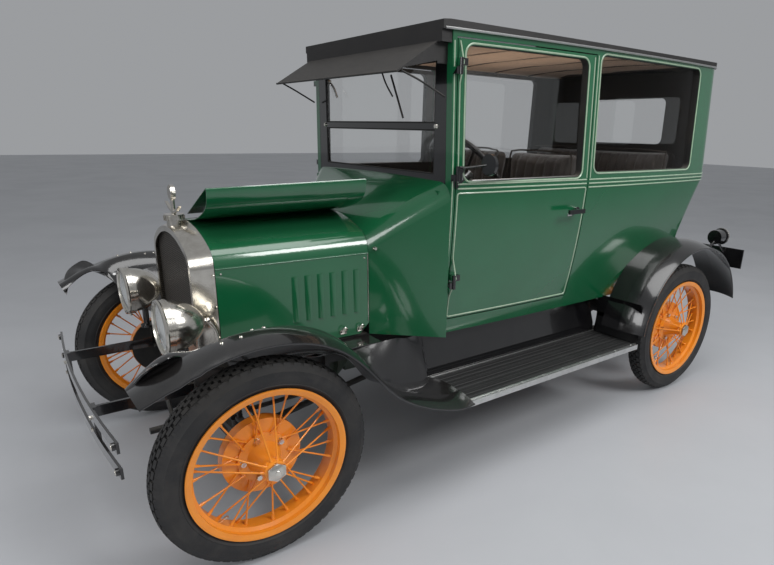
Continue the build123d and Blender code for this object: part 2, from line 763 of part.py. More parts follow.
# Radiator shell and core
shell_rim = 22
core_rear_x = shell_rear_x - 22
with BuildPart() as radiator_shell:
    add(arch_face(shell_front_arch, 0, sill_z))
    add(arch_face(shell_rear_arch, 0, sill_z))
    loft()
    add(arch_face(arch_between(shell_rear_arch, shell_front_arch, shell_front_x + 1), shell_rim, sill_z + 50))
    add(arch_face(arch_between(shell_rear_arch, shell_front_arch, shell_rear_x - 1), shell_rim, sill_z + 50))
    loft(mode=Mode.SUBTRACT)
    neck_x = shell_front_x - 32
    with Locations((neck_x, 0, 1098)):
        Cylinder(30, 30)
    with Locations((neck_x, 0, 1122)):
        Cylinder(38, 20)
    with Locations((neck_x, 0, 1170)):
        Cylinder(8, 80)
    with BuildSketch(Plane.YZ.offset(neck_x - 6)):
        with BuildLine():
            Polyline((0, 1140), (95, 1172), (60, 1150), (0, 1132))
            mirror(about=Plane.YZ)
        make_face()
    extrude(amount=12)
    with BuildSketch(Plane.YZ.offset(neck_x - 7)):
        with Locations((0, 1214)):
            Circle(30)
    extrude(amount=14)
radiator_shell.part.label = "radiator_shell"
export_step(radiator_shell.part, "parts/radiator_shell.step")

with BuildPart() as radiator_core:
    front_core = arch_between(shell_rear_arch, shell_front_arch, shell_front_x - 18)
    rear_core = arch_between(shell_rear_arch, shell_front_arch, shell_rear_x)
    add(arch_face(front_core, shell_rim + seat_gap, sill_z + 50 + seat_gap))
    add(arch_face(rear_core, shell_rim + seat_gap, sill_z + 50 + seat_gap))
    loft()
radiator_core.part.label = "radiator_core"
export_step(radiator_core.part, "parts/radiator_core.step")

# Hood: two top panels on the centre rod and a side panel on each, with louvres.
# The right top is folded over the left, and its side panel is folded flat inside it.
hood_front_x = shell_rear_x - hood_gap
hood_rear_x = cowl_x + hood_gap
hood_front_arch = arch_between(shell_rear_arch, cowl_front_arch, hood_front_x)
hood_rear_arch = arch_between(shell_rear_arch, cowl_front_arch, hood_rear_x)
centre_hinge = Axis(
    (hood_front_x, 0, hood_front_arch[3] + 0.4),
    (hood_rear_x - hood_front_x, 0, hood_rear_arch[3] - hood_front_arch[3]),
)
side_hinge_drop = 4.5


def hood_top_face(arch):
    """Thin half arch from the centre rod down to the side hinge."""
    station, half, side_top, crown, shoulder = arch
    with BuildSketch(Plane.YZ.offset(station)) as section:
        with BuildLine():
            ends = []
            for inset in (0, hood_sheet):
                top, join, knee, side, circle = arch_points(arch, inset)
                centre_z, radius = circle
                start_y = hood_rod_radius + seat_gap
                start = (start_y, centre_z + sqrt(radius**2 - start_y**2))
                middle_y = join[0] / 2
                middle = (middle_y, centre_z + sqrt(radius**2 - middle_y**2))
                ThreePointArc(start, middle, join)
                ThreePointArc(join, knee, side)
                ends.append((start, side))
            Line(ends[0][0], ends[1][0])
            Line(ends[0][1], ends[1][1])
        make_face()
    return section.sketch


with BuildPart() as hood_left_top:
    add(hood_top_face(hood_front_arch))
    add(hood_top_face(hood_rear_arch))
    loft()
hood_right_closed = mirrored(hood_left_top.part)

# The side panel stands in a vertical plane that widens towards the cowl
side_front = Vector(hood_front_x, hood_front_arch[1], 0)
side_rear = Vector(hood_rear_x, hood_rear_arch[1], 0)
side_plane = Plane(
    origin=side_front,
    x_dir=side_rear - side_front,
    z_dir=(side_rear - side_front).cross(Vector(0, 0, 1)) * -1,
)
panel_length = (side_rear - side_front).length
hinge_z = hood_front_arch[2] - side_hinge_drop
hinge_radius = 2.2
clip_corner = 45
with BuildPart() as hood_left_side:
    with BuildSketch(side_plane):
        with BuildLine():
            up = side_plane.y_dir.Z
            panel_top = up * (hinge_z - hinge_radius - seat_gap)
            panel_bottom = up * hood_side_bottom
            Polyline(
                (0, panel_top),
                (panel_length, panel_top),
                (panel_length, panel_bottom + up * clip_corner),
                (panel_length - clip_corner, panel_bottom),
                (0, panel_bottom),
                (0, panel_top),
            )
        make_face()
    extrude(amount=-hood_sheet)
    for louvre in range(louvre_count):
        louvre_x = louvre_first + louvre * louvre_pitch
        louvre_z = up * (louvre_top + louvre_bottom) / 2
        louvre_height = louvre_top - louvre_bottom
        with BuildSketch(side_plane):
            with Locations((louvre_x, louvre_z)):
                Rectangle(louvre_width - 12, louvre_height - 20)
        extrude(amount=-2 * hood_sheet, mode=Mode.SUBTRACT)
        louvre_foot = side_plane.from_local_coords((louvre_x, up * louvre_bottom, 0))
        louvre_section = Plane(origin=louvre_foot, x_dir=side_plane.x_dir, z_dir=(0, 0, 1))
        outward = 1 if louvre_section.y_dir.Y > 0 else -1
        with BuildSketch(louvre_section):
            with BuildLine():
                hinge_side = -louvre_width / 2
                open_side = louvre_width / 2
                louvre_bulge = (-2, outward * louvre_rise * 0.85)
                ThreePointArc((hinge_side, -1), louvre_bulge, (open_side, outward * louvre_rise))
                Line((open_side, outward * louvre_rise), (open_side, outward * (louvre_rise - 2)))
                ThreePointArc(
                    (open_side, outward * (louvre_rise - 2)),
                    (-1, outward * (louvre_rise * 0.85 - 2)),
                    (hinge_side + 3, -1),
                )
                Line((hinge_side + 3, -1), (hinge_side, -1))
            make_face()
        extrude(amount=louvre_height)
        for cap_z in (louvre_bottom, louvre_top - 3):
            with BuildSketch(louvre_section.offset(cap_z - louvre_bottom)):
                with BuildLine():
                    ThreePointArc((hinge_side, -1), louvre_bulge, (open_side, outward * louvre_rise))
                    Polyline((open_side, outward * louvre_rise), (open_side, -1), (hinge_side, -1))
                make_face()
            extrude(amount=3)
hood_right_side_closed = mirrored(hood_left_side.part)

# Each top panel carries a hinge rod under a lip. The left side panel swings outwards on a rod
# outside the sheet, the right one folds inwards on a rod inside it.
# Side: the rod's distance outside the sheet, the lip's middle outside the sheet and its width
hinge_rows = (("left", hinge_radius, 0.25, 4.5), ("right", -hinge_radius, -1.25, 2.4))
hinge_lip = 5
hood_tops = {}
hinge_starts = {}
hinge_ends = {}
for name, rod_y, lip_y, lip_width in hinge_rows:
    hinge_starts[name] = Vector(hood_front_x, hood_front_arch[1] + rod_y, hinge_z)
    hinge_ends[name] = Vector(hood_rear_x, hood_rear_arch[1] + rod_y, hinge_z)
    with BuildPart() as hood_top_piece:
        add(hood_left_top.part)
        add(bar(hinge_starts[name], hinge_ends[name], hinge_radius))
        for station, arch in ((hood_front_x, hood_front_arch), (hood_rear_x, hood_rear_arch)):
            with BuildSketch(Plane.YZ.offset(station)):
                with Locations((arch[1] + lip_y, arch[2] - 1.5)):
                    Rectangle(lip_width, hinge_lip)
        loft()
    hood_tops[name] = hood_top_piece.part
hood_tops["left"].label = "hood_left_top"
export_step(hood_tops["left"], "parts/hood_left_top.step")
hood_left_side.part.label = "hood_left_side"
export_step(hood_left_side.part, "parts/hood_left_side.step")

hinge_start = hinge_starts["right"]
hinge_run = hinge_ends["right"] - hinge_start
right_hinge = Axis((hinge_start.X, -hinge_start.Y, hinge_start.Z), (hinge_run.X, -hinge_run.Y, 0))
hood_right_top = mirrored(hood_tops["right"]).rotate(centre_hinge, 180)
hood_right_top.label = "hood_right_top"
export_step(hood_right_top, "parts/hood_right_top.step")
# Folded in, the panel would reach past the cowl's front edge, so its rear edge is cut back
folded_side = hood_right_side_closed.rotate(right_hinge, -hood_fold_angle)
trim_depth = 100
trim_block = Box(2 * trim_depth, 2 * fender_outer_y, 2 * fender_outer_y)
folded_side = folded_side - Pos(hood_rear_x + 1 - trim_depth, 0, hinge_z) * trim_block
hood_right_side = folded_side.rotate(centre_hinge, 180)
hood_right_side.label = "hood_right_side"
export_step(hood_right_side, "parts/hood_right_side.step")

# Cowl: firewall, sides and top, the instrument panel and the centre rod of the hood
firewall = 12
with BuildPart() as cowl:
    add(arch_face(cowl_front_arch, 0, sill_z))
    add(arch_face(cowl_rear_arch, 0, sill_z))
    loft()
    inner_front = arch_between(cowl_front_arch, cowl_rear_arch, cowl_x - firewall)
    inner_rear = arch_between(cowl_front_arch, cowl_rear_arch, windshield_x - 1)
    add(arch_face(inner_front, cowl_wall, sill_z - 1))
    add(arch_face(inner_rear, cowl_wall, sill_z - 1))
    loft(mode=Mode.SUBTRACT)
    panel_arch = arch_between(cowl_front_arch, cowl_rear_arch, windshield_x + 30)
    with BuildSketch(Plane.YZ.offset(windshield_x + 30)):
        with Locations((0, 1165)):
            Rectangle(2 * (panel_arch[1] - cowl_wall) + 8, 130)
    extrude(amount=-6)
    add(bar(column_foot, column_top, 19 + seat_gap), mode=Mode.SUBTRACT)
    rod_end = centre_hinge.position + centre_hinge.direction * (hood_length - 4)
    add(bar(centre_hinge.position, rod_end, hood_rod_radius))
    add(bar(rod_end - centre_hinge.direction * 6, (cowl_x - 8, 0, cowl_front_arch[3] - 4), hood_rod_radius))
cowl.part.label = "cowl"
export_step(cowl.part, "parts/cowl.step")

# Body shell with walls as thick as the doors
with BuildPart() as shell:
    add(body_envelope(0, windshield_x))
    add(body_envelope(wall, windshield_x + 1), mode=Mode.SUBTRACT)

door_height_middle = (door_bottom_z + door_top_z) / 2
half_width_limit = 900
hinge_y = belt_row[1] + 14
hinge_x = windshield_x - post_depth - panel_gap / 2
hinge_heights = (1700, 1300, 850)
hinge_half = 30


def window_cut(window, start_x):
    """Rounded window opening, from its front edge backwards: offset, length, bottom and top."""
    front, length, bottom, top = window
    with BuildPart(mode=Mode.PRIVATE) as cut:
        with BuildSketch(Plane.XZ):
            with Locations((start_x - front - length / 2, (bottom + top) / 2)):
                RectangleRounded(length, top - bottom, window_corner)
        extrude(amount=half_width_limit, both=True)
    return cut.part


door_glass_width = door_width - door_window[0] - door_window[1]
door_window_cut = window_cut((door_window[0], door_glass_width, *door_window[2:]), door_front_x)
quarter_front_x = door_rear_x - panel_gap
quarter_length = quarter_window[1] - quarter_window[0]
quarter_cut = window_cut((quarter_window[0], quarter_length, *quarter_window[2:]), quarter_front_x)

# Body sides: post, sill, header and quarter panel round the door, with the lower hinge halves
for side, side_name in sides:
    with BuildPart() as body_side:
        add(shell.part)
        middle_x = (windshield_x + rear_split_x) / 2
        with Locations((middle_x, side * half_width_limit / 2, rail_z)):
            Box(windshield_x - rear_split_x, half_width_limit, 2 * rail_z, mode=Mode.INTERSECT)
        opening_x = (door_front_x + door_rear_x) / 2
        with Locations((opening_x, side * half_width_limit / 2, door_height_middle)):
            Box(
                door_width + 2 * panel_gap,
                half_width_limit,
                door_top_z - door_bottom_z + 2 * panel_gap,
                mode=Mode.SUBTRACT,
            )
        add(quarter_cut, mode=Mode.SUBTRACT)
        for hinge_height in hinge_heights:
            with Locations((hinge_x, side * hinge_y, hinge_height - hinge_half / 2 - seat_gap)):
                Cylinder(8, hinge_half)
            leaf_y = belt_row[1] - 33
            with Locations((windshield_x - post_depth / 2, side * (leaf_y + hinge_y) / 2, hinge_height - hinge_half / 2 - 1)):
                Box(post_depth, hinge_y - leaf_y, hinge_half - 4)
    body_side.part.label = f"body_{side_name}"
    export_step(body_side.part, f"parts/body_{side_name}.step")

# Rear of the body with its small window
with BuildPart() as body_rear:
    add(shell.part)
    with Locations((rear_split_x - 500, 0, rail_z)):
        Box(1000, 2 * half_width_limit, 2 * rail_z, mode=Mode.INTERSECT)
    with BuildSketch(Plane.YZ.offset(body_rear_x - 50)):
        with Locations((0, (rear_window[1] + rear_window[2]) / 2)):
            RectangleRounded(2 * rear_window[0], rear_window[2] - rear_window[1], window_corner)
    extrude(amount=150, mode=Mode.SUBTRACT)
body_rear.part.label = "body_rear"
export_step(body_rear.part, "parts/body_rear.step")

# Doors with the upper hinge halves and a handle; the left one carries the mirror
handle_x = front_axle_x - 1630
handle_z = 1117
mirror_x = front_axle_x - 990
mirror_y = 700
mirror_z = 1340
for side, side_name in sides:
    with BuildPart() as door:
        add(shell.part)
        with Locations((opening_x, side * half_width_limit / 2, door_height_middle)):
            Box(door_width, half_width_limit, door_top_z - door_bottom_z, mode=Mode.INTERSECT)
        add(door_window_cut, mode=Mode.SUBTRACT)
        for hinge_height in hinge_heights:
            with Locations((hinge_x, side * hinge_y, hinge_height + hinge_half / 2)):
                Cylinder(8, hinge_half)
            with Locations((door_front_x - 14, side * (leaf_y + hinge_y) / 2, hinge_height + hinge_half / 2 + 1)):
                Box(33, hinge_y - leaf_y, hinge_half - 4)
        handle_surface = belt_row[2] - 12
        with BuildSketch(Plane.XZ.offset(-side * handle_surface)):
            with Locations((handle_x, handle_z)):
                Circle(16)
        extrude(amount=-side * 24)
        with BuildSketch(Plane.XZ.offset(-side * (handle_surface + 6))):
            with Locations((handle_x, handle_z)):
                Circle(8)
        extrude(amount=-side * 52)
        with Locations((handle_x + 42, side * (handle_surface + 54), handle_z)):
            Box(110, 12, 20)
        if side > 0:
            arm_start = (door_front_x - 16, hinge_y - 6, hinge_heights[1] + 20)
            add(bar(arm_start, (mirror_x, mirror_y - 8, mirror_z), 5))
            add(bar((mirror_x + 6, mirror_y, mirror_z), (mirror_x - 8, mirror_y, mirror_z), 42))
    door.part.label = f"door_{side_name}"
    export_step(door.part, f"parts/door_{side_name}.step")

# Glass: a sheet in the middle of each wall, cut by the same window
with BuildPart() as glass_shell:
    add(body_envelope(wall / 2 - glass / 2, windshield_x + 1))
    add(body_envelope(wall / 2 + glass / 2, windshield_x + 2), mode=Mode.SUBTRACT)


def shrunk(window):
    """The same window, smaller all round by the clearance of a seated pane."""
    front, length, bottom, top = window
    return front + seat_gap, length - 2 * seat_gap, bottom + seat_gap, top - seat_gap


door_pane_cut = window_cut(
    shrunk((door_window[0], door_width - door_window[0] - door_window[1], *door_window[2:])), door_front_x
)
quarter_pane_cut = window_cut(shrunk((quarter_window[0], quarter_length, *quarter_window[2:])), quarter_front_x)
for side, side_name in sides:
    with BuildPart() as door_glass:
        add(glass_shell.part)
        with Locations((opening_x, side * half_width_limit / 2, door_height_middle)):
            Box(door_width, half_width_limit, door_top_z - door_bottom_z, mode=Mode.INTERSECT)
        add(door_pane_cut, mode=Mode.INTERSECT)
    door_glass.part.label = f"door_glass_{side_name}"
    export_step(door_glass.part, f"parts/door_glass_{side_name}.step")

# Windshield frame between the posts, with its divided opening
frame_depth = 18
frame_foot_z = belt_z - 10
frame_top_z = rail_z - seat_gap
frame_rows = ((frame_foot_z, belt_row[1] - wall - 2), (frame_top_z, rail_row[1] - wall - seat_gap))
opening_half, opening_bottom, opening_top = windshield_opening
frame_bar = 12
with BuildPart() as windshield_frame:
    with BuildSketch(Plane.YZ.offset(windshield_x - seat_gap)):
        with BuildLine():
            foot_z, foot_half = frame_rows[0]
            head_z, head_half = frame_rows[1]
            Polyline((0, foot_z), (foot_half, foot_z), (head_half, head_z), (0, head_z))
            mirror(about=Plane.YZ)
        make_face()
        for low, high in ((opening_bottom, windshield_bar_z - frame_bar), (windshield_bar_z + frame_bar, opening_top)):
            with Locations((0, (low + high) / 2)):
                Rectangle(2 * opening_half, high - low, mode=Mode.SUBTRACT)
    extrude(amount=-frame_depth)
windshield_frame.part.label = "windshield_frame"
export_step(windshield_frame.part, "parts/windshield_frame.step")

with BuildPart() as body_glass:
    add(glass_shell.part)
    add(quarter_pane_cut, mode=Mode.INTERSECT)
    with BuildSketch(Plane.YZ.offset(windshield_x - seat_gap - frame_depth / 2 + glass / 2)):
        for low, high in ((opening_bottom, windshield_bar_z - frame_bar), (windshield_bar_z + frame_bar, opening_top)):
            with Locations((0, (low + high) / 2)):
                Rectangle(2 * (opening_half - seat_gap), high - low - 2 * seat_gap)
    extrude(amount=-glass)
    with BuildSketch(Plane.YZ.offset(body_rear_x + wall / 2 + 4)):
        with Locations((0, (rear_window[1] + rear_window[2]) / 2)):
            RectangleRounded(
                2 * (rear_window[0] - seat_gap), rear_window[2] - rear_window[1] - 2 * seat_gap, window_corner
            )
    extrude(amount=glass)
body_glass.part.label = "body_glass"
export_step(body_glass.part, "parts/body_glass.step")

# Roof: crowned across and along, hollow below, with its front fascia and the visor
roof_front_x = windshield_x + 50
drip = 8
crown_top_z = 1900
roof_sheet = 30
visor_base_z = 1788
visor_tip_z = 1670
visor_reach = 185
visor_half = 530
visor_sheet = 6


def roof_blank(inset, drop):
    """The roof's plan, cut by a crown across the car and a crown along it."""
    with BuildPart(mode=Mode.PRIVATE) as blank:
        add(plan_face(rail_row, inset - drip, roof_front_x - max(inset, 0)))
        extrude(amount=150)
        with BuildSketch(Plane.YZ.offset(body_rear_x - 100)):
            with BuildLine():
                edge = rail_row[2] + 60
                ThreePointArc((-edge, rail_z + 18 - drop), (0, crown_top_z - drop), (edge, rail_z + 18 - drop))
                Polyline((edge, rail_z + 18 - drop), (edge, rail_z - 50), (-edge, rail_z - 50), (-edge, rail_z + 18 - drop))
            make_face()
        extrude(amount=roof_front_x - body_rear_x + 300, mode=Mode.INTERSECT)
        with BuildSketch(Plane.XZ):
            with BuildLine():
                nose = (roof_front_x + 60, rail_z + 26 - drop)
                peak = ((roof_front_x + body_rear_x) / 2, crown_top_z - drop)
                tail = (body_rear_x - 60, rail_z + 16 - drop)
                ThreePointArc(tail, peak, nose)
                Polyline(nose, (nose[0], rail_z - 50), (tail[0], rail_z - 50), tail)
            make_face()
        extrude(amount=half_width_limit, both=True, mode=Mode.INTERSECT)
    return blank.part


with BuildPart() as roof:
    add(roof_blank(0, 0))
    add(roof_blank(wall + 10, roof_sheet), mode=Mode.SUBTRACT)
    fascia_depth = roof_front_x - windshield_x - seat_gap
    fascia_half = rail_row[1] - 4
    with Locations((roof_front_x - fascia_depth / 2, 0, (visor_base_z - 6 + rail_z + 4) / 2)):
        Box(fascia_depth, 2 * fascia_half, rail_z + 4 - visor_base_z + 6)
    with BuildSketch(Plane.XZ.offset(-visor_half)):
        with BuildLine():
            Polyline(
                (roof_front_x - 4, visor_base_z),
                (roof_front_x + visor_reach, visor_tip_z),
                (roof_front_x + visor_reach, visor_tip_z - visor_sheet),
                (roof_front_x - 4, visor_base_z - visor_sheet),
                (roof_front_x - 4, visor_base_z),
            )
        make_face()
    extrude(amount=2 * visor_half)
    for side, _ in sides:
        with BuildSketch(Plane.XZ.offset(-side * visor_half)):
            with BuildLine():
                Polyline(
                    (roof_front_x - 4, visor_base_z - 2),
                    (roof_front_x + visor_reach - 20, visor_tip_z + 10),
                    (roof_front_x - 4, visor_base_z - 70),
                    (roof_front_x - 4, visor_base_z - 2),
                )
            make_face()
        extrude(amount=side * 4)
        with Locations((roof_front_x - fascia_depth / 2, side * (visor_half - 3), visor_base_z - 40)):
            Box(fascia_depth, 6, 80)
roof.part.label = "roof"
export_step(roof.part, "parts/roof.step")

# Floor inside the walls, with toe board, seat risers, gear lever and hand brake
floor_sheet = 22
floor_top = sill_z + floor_sheet
riser_top = 790
front_seat_x = front_axle_x - 1330
front_seat_depth = 470
front_seat_half = 235
front_seat_y = 262
rear_seat_x = front_axle_x - 2130
rear_seat_depth = 470
rear_seat_half = 520
with BuildPart() as floor:
    add(plan_face(sill_row, wall + seat_gap, windshield_x))
    extrude(amount=floor_sheet)
    with BuildSketch(Plane.XY.offset(sill_z)):
        with BuildLine():
            toe_x = cowl_x - firewall - seat_gap
            toe_half = inner_front[1] - cowl_wall - seat_gap
            heel_half = sill_row[1] - wall - seat_gap
            Polyline((toe_x, 0), (toe_x, toe_half), (windshield_x, heel_half), (windshield_x, 0))
            mirror(about=Plane.XZ)
        make_face()
    extrude(amount=floor_sheet)
    for side, _ in sides:
        with Locations((front_seat_x - front_seat_depth / 2, side * front_seat_y, (floor_top + riser_top) / 2)):
            Box(front_seat_depth - 40, 2 * front_seat_half - 60, riser_top - floor_top)
    with Locations((rear_seat_x - rear_seat_depth / 2, 0, (floor_top + riser_top) / 2)):
        Box(rear_seat_depth - 20, 2 * (sill_row[3] - wall - 20), riser_top - floor_top)
    lever_foot = (front_axle_x - 950, 0, floor_top - 4)
    lever_knob = (front_axle_x - 1060, 0, 985)
    add(bar(lever_foot, lever_knob, 9))
    with Locations(lever_knob):
        Sphere(24)
    add(bar((front_axle_x - 860, 90, floor_top - 4), (front_axle_x - 1010, 90, 900), 10))
    for pedal_y in (column_y - 95, column_y + 40):
        add(bar((front_axle_x - 740, pedal_y, floor_top - 4), (front_axle_x - 800, pedal_y, 760), 8))
        with Locations((front_axle_x - 805, pedal_y, 770)):
            Box(14, 60, 60)
floor.part.label = "floor"
export_step(floor.part, "parts/floor.step")

# Seats: two separate front seats and a rear bench, each with a leaning back
# Seat rows: node, front edge, depth, middle of the seat, half-width, top of its back
seat_cushion = 165
back_lean = 70
back_depth = 120
seat_rows = (
    ("front_seats", front_seat_x, front_seat_depth, (front_seat_y, -front_seat_y), front_seat_half, 1390),
    ("rear_seat", rear_seat_x, rear_seat_depth, (0,), rear_seat_half, 1400),
)
for seat_name, front_edge, depth, middles, half_width, back_top in seat_rows:
    with BuildPart() as seat:
        for middle in middles:
            with BuildSketch(Plane.XZ.offset(-(middle + half_width))):
                with BuildLine():
                    base = riser_top + seat_gap
                    back_edge = front_edge - depth
                    Polyline(
                        (front_edge, base),
                        (front_edge, base + seat_cushion - 25),
                        (back_edge + back_depth, base + seat_cushion - 40),
                        (back_edge + back_depth - back_lean, back_top),
                        (back_edge - back_lean, back_top),
                        (back_edge, base),
                        (front_edge, base),
                    )
                make_face()
            extrude(amount=2 * half_width)
    seat.part.label = seat_name
    export_step(seat.part, f"parts/{seat_name}.step")

# Front fenders: sections swept by a loft along the arch over the wheel and down to the board
fender_crest_y = 720
bead_drop = 13
arch_peak = 843
front_arc = (700, 22)
rear_arc = (450, 50)
foot_arc = (585, 50)
nose_run = 145
slope_run = 90
with BuildLine(Plane.XZ) as fender_route:
    peak_x = front_axle_x - 5
    nose_turn = radians(front_arc[1])
    nose_x = peak_x + front_arc[0] * sin(nose_turn) + nose_run * cos(nose_turn)
    nose_z = arch_peak - front_arc[0] * (1 - cos(nose_turn)) - nose_run * sin(nose_turn)
    nose_line = Line((nose_x, nose_z), (nose_x - nose_run * cos(nose_turn), nose_z + nose_run * sin(nose_turn)))
    over_nose = JernArc(nose_line @ 1, nose_line % 1, front_arc[0], front_arc[1])
    over_tail = JernArc(over_nose @ 1, over_nose % 1, rear_arc[0], rear_arc[1])
    down_line = Line(over_tail @ 1, (over_tail @ 1) + (over_tail % 1) * slope_run)
    foot = JernArc(down_line @ 1, down_line % 1, foot_arc[0], -foot_arc[1])
fender_wire = fender_route.wire()
ledge_z = sill_z - fender_sheet
ledge_y = rail_outer_y + seat_gap
skirt_root_y = ledge_y + 14

# Fender rows: share of the route, crest height, inner edge and root, each as distance
# from the car's middle and height above the route, and the sag of the skirt between them,
# which clears the hood's side panel above and the steered tyre below
fender_rows = (
    (0.0, 6, 668, -24, 655, -42, 1),
    (0.15, 10, 652, -40, 600, -82, 1),
    (0.3, 12, 643, -50, skirt_root_y, ledge_z - arch_peak, 48),
    (0.44, 12, 638, -10, skirt_root_y, -221, 48),
    (0.575, 12, 634, 0, 395, -142, -12),
    (0.75, 12, 575, -18, apron_top_y + 2, 105, -1),
    (0.88, 12, 530, -8, apron_top_y, 172, 1),
    (1.0, 10, board_inner_y + 3, -6, apron_top_y, ledge_z - board_top - 12, 1),
)


def fender_face(row):
    """One fender section with its skirt, square to the route."""
    share, crest, inner_y, inner_n, root_y, root_n, sag = row
    corners = [
        Vector(fender_outer_y, -bead_drop),
        Vector(fender_crest_y, crest),
        Vector(inner_y, inner_n),
        Vector(root_y, root_n),
    ]
    normals = [(b - a).normalized().rotate(Axis.Z, 90) for a, b in zip(corners, corners[1:])]
    bends = [normals[0]] + [(a + b).normalized() for a, b in zip(normals, normals[1:])] + [normals[-1]]
    plane = Plane(origin=fender_wire @ share, x_dir=(0, -1, 0), z_dir=fender_wire % share)
    with BuildSketch(plane) as section:
        with BuildLine():
            ends = []
            for depth in (0, fender_sheet):
                points = [corner + bend * depth for corner, bend in zip(corners, bends)]
                outer_bulge = (points[0] + points[1]) / 2 - normals[0] * 8
                inner_bulge = (points[1] + points[2]) / 2 - normals[1] * 12
                skirt_bulge = (points[2] + points[3]) / 2 + normals[2] * sag
                ThreePointArc(points[0], outer_bulge, points[1])
                ThreePointArc(points[1], inner_bulge, points[2])
                ThreePointArc(points[2], skirt_bulge, points[3])
                ends.append((points[0], points[3]))
            Line(ends[0][0], ends[1][0])
            Line(ends[0][1], ends[1][1])
        make_face()
    return section.sketch


with BuildPart() as right_fender:
    for row in fender_rows:
        add(fender_face(row))
    loft()
with BuildPart() as front_fenders:
    add(right_fender.part)
    add(mirrored(right_fender.part))
    for side, _ in sides:
        with BuildSketch(Plane.XY.offset(ledge_z - fender_sheet)):
            with BuildLine():
                Polyline(
                    (front_axle_x - 90, side * ledge_y),
                    (front_axle_x - 240, side * 400),
                    (front_axle_x - 340, side * apron_top_y),
                    (cowl_x + 5, side * apron_top_y),
                    (cowl_x + 5, side * ledge_y),
                    (front_axle_x - 90, side * ledge_y),
                )
            make_face()
        extrude(amount=fender_sheet)
front_fenders.part.label = "front_fenders"
export_step(front_fenders.part, "parts/front_fenders.step")

# Rear fenders: a crowned section turned about a line above the axle, cut to the body's side
rear_fender_radius = 495
rear_fender_z = 385
rear_fender_front = 7
rear_fender_turn = 158
with BuildPart() as body_block:
    add(body_envelope(-seat_gap, windshield_x))
with BuildPart() as rear_fenders:
    for side, _ in sides:
        radial = Vector(cos(radians(rear_fender_front)), 0, sin(radians(rear_fender_front)))
        fender_plane = Plane(origin=(rear_axle_x, 0, rear_fender_z), x_dir=(0, side, 0), z_dir=radial.cross(Vector(0, side, 0)) * -1)
        outward = 1 if fender_plane.y_dir.dot(radial) > 0 else -1
        with BuildSketch(fender_plane):
            with BuildLine():
                crest = rear_fender_radius + 22
                outer_edge = rear_fender_radius - 12
                for depth in (0, fender_sheet):
                    ThreePointArc(
                        (fender_outer_y - depth, outward * (outer_edge - depth / 2)),
                        (fender_crest_y + 50, outward * (crest - 12 - depth)),
                        (fender_crest_y - 30, outward * (crest - depth)),
                    )
                    Line((fender_crest_y - 30, outward * (crest - depth)), (540, outward * (crest - 2 - depth)))
                Line((fender_outer_y, outward * outer_edge), (fender_outer_y - fender_sheet, outward * (outer_edge - fender_sheet / 2)))
                Line((540, outward * (crest - 2)), (540, outward * (crest - 2 - fender_sheet)))
            make_face()
        revolve(axis=Axis((rear_axle_x, 0, rear_fender_z), (0, -1, 0)), revolution_arc=rear_fender_turn)
    add(body_block.part, mode=Mode.SUBTRACT)
    with Locations((rear_axle_x, 0, rear_fender_z)):
        Box(3 * rear_fender_radius, 2 * 580, 1200, mode=Mode.SUBTRACT)
rear_fenders.part.label = "rear_fenders"
export_step(rear_fenders.part, "parts/rear_fenders.step")

# Running boards with their edge trim, and the splash aprons up to the body
board_sheet = 22
trim_height = 26
with BuildPart() as running_boards:
    for side, _ in sides:
        with BuildSketch(Plane.YZ.offset(board_rear_x)):
            with Locations((side * (board_outer_y + board_inner_y) / 2, board_top - board_sheet / 2)):
                Rectangle(board_outer_y - board_inner_y, board_sheet)
            with Locations((side * (board_outer_y + 2), board_top - trim_height / 2 + 2)):
                Rectangle(6, trim_height)
            with BuildLine():
                Polyline(
                    (side * apron_top_y, ledge_z),
                    (side * board_inner_y, board_top + 45),
                    (side * (board_inner_y + 3), board_top - board_sheet),
                    (side * (board_inner_y - 1), board_top - board_sheet),
                    (side * (board_inner_y - fender_sheet), board_top + 44),
                    (side * (apron_top_y - fender_sheet), ledge_z),
                    (side * apron_top_y, ledge_z),
                )
            make_face()
        extrude(amount=board_front_x - board_rear_x)
running_boards.part.label = "running_boards"
export_step(running_boards.part, "parts/running_boards.step")

# Headlamps on posts from the frame
lamp_x = front_axle_x + 150
lamp_y = 300
lamp_z = 775
lamp_radius = 100
with BuildPart() as headlamps:
    for side, _ in sides:
        with BuildSketch(Plane.XZ.offset(-side * lamp_y)):
            with BuildLine():
                Polyline((lamp_x - 110, lamp_z), (lamp_x - 110, lamp_z + 12))
                ThreePointArc((lamp_x - 110, lamp_z + 12), (lamp_x - 62, lamp_z + 72), (lamp_x + 22, lamp_z + lamp_radius - 6))
                Polyline(
                    (lamp_x + 22, lamp_z + lamp_radius - 6),
                    (lamp_x + 22, lamp_z + lamp_radius),
                    (lamp_x + 40, lamp_z + lamp_radius),
                    (lamp_x + 40, lamp_z + lamp_radius - 10),
                )
                lens_rim = lamp_radius - 10
                lens_curve = (lens_rim**2 + 12**2) / 24
                RadiusArc((lamp_x + 40, lamp_z + lens_rim), (lamp_x + 52, lamp_z), lens_curve)
                Line((lamp_x + 52, lamp_z), (lamp_x - 110, lamp_z))
            make_face()
        revolve(axis=Axis((lamp_x, side * lamp_y, lamp_z), (1, 0, 0)))
        post_y = (lamp_y + rail_y) / 2
        add(bar((lamp_x - 30, side * post_y, rail_top + 5), (lamp_x - 30, side * lamp_y, lamp_z - 60), 13))
        with Locations((lamp_x - 30, side * post_y, rail_top + seat_gap + 5)):
            Cylinder(26, 10)
headlamps.part.label = "headlamps"
export_step(headlamps.part, "parts/headlamps.step")

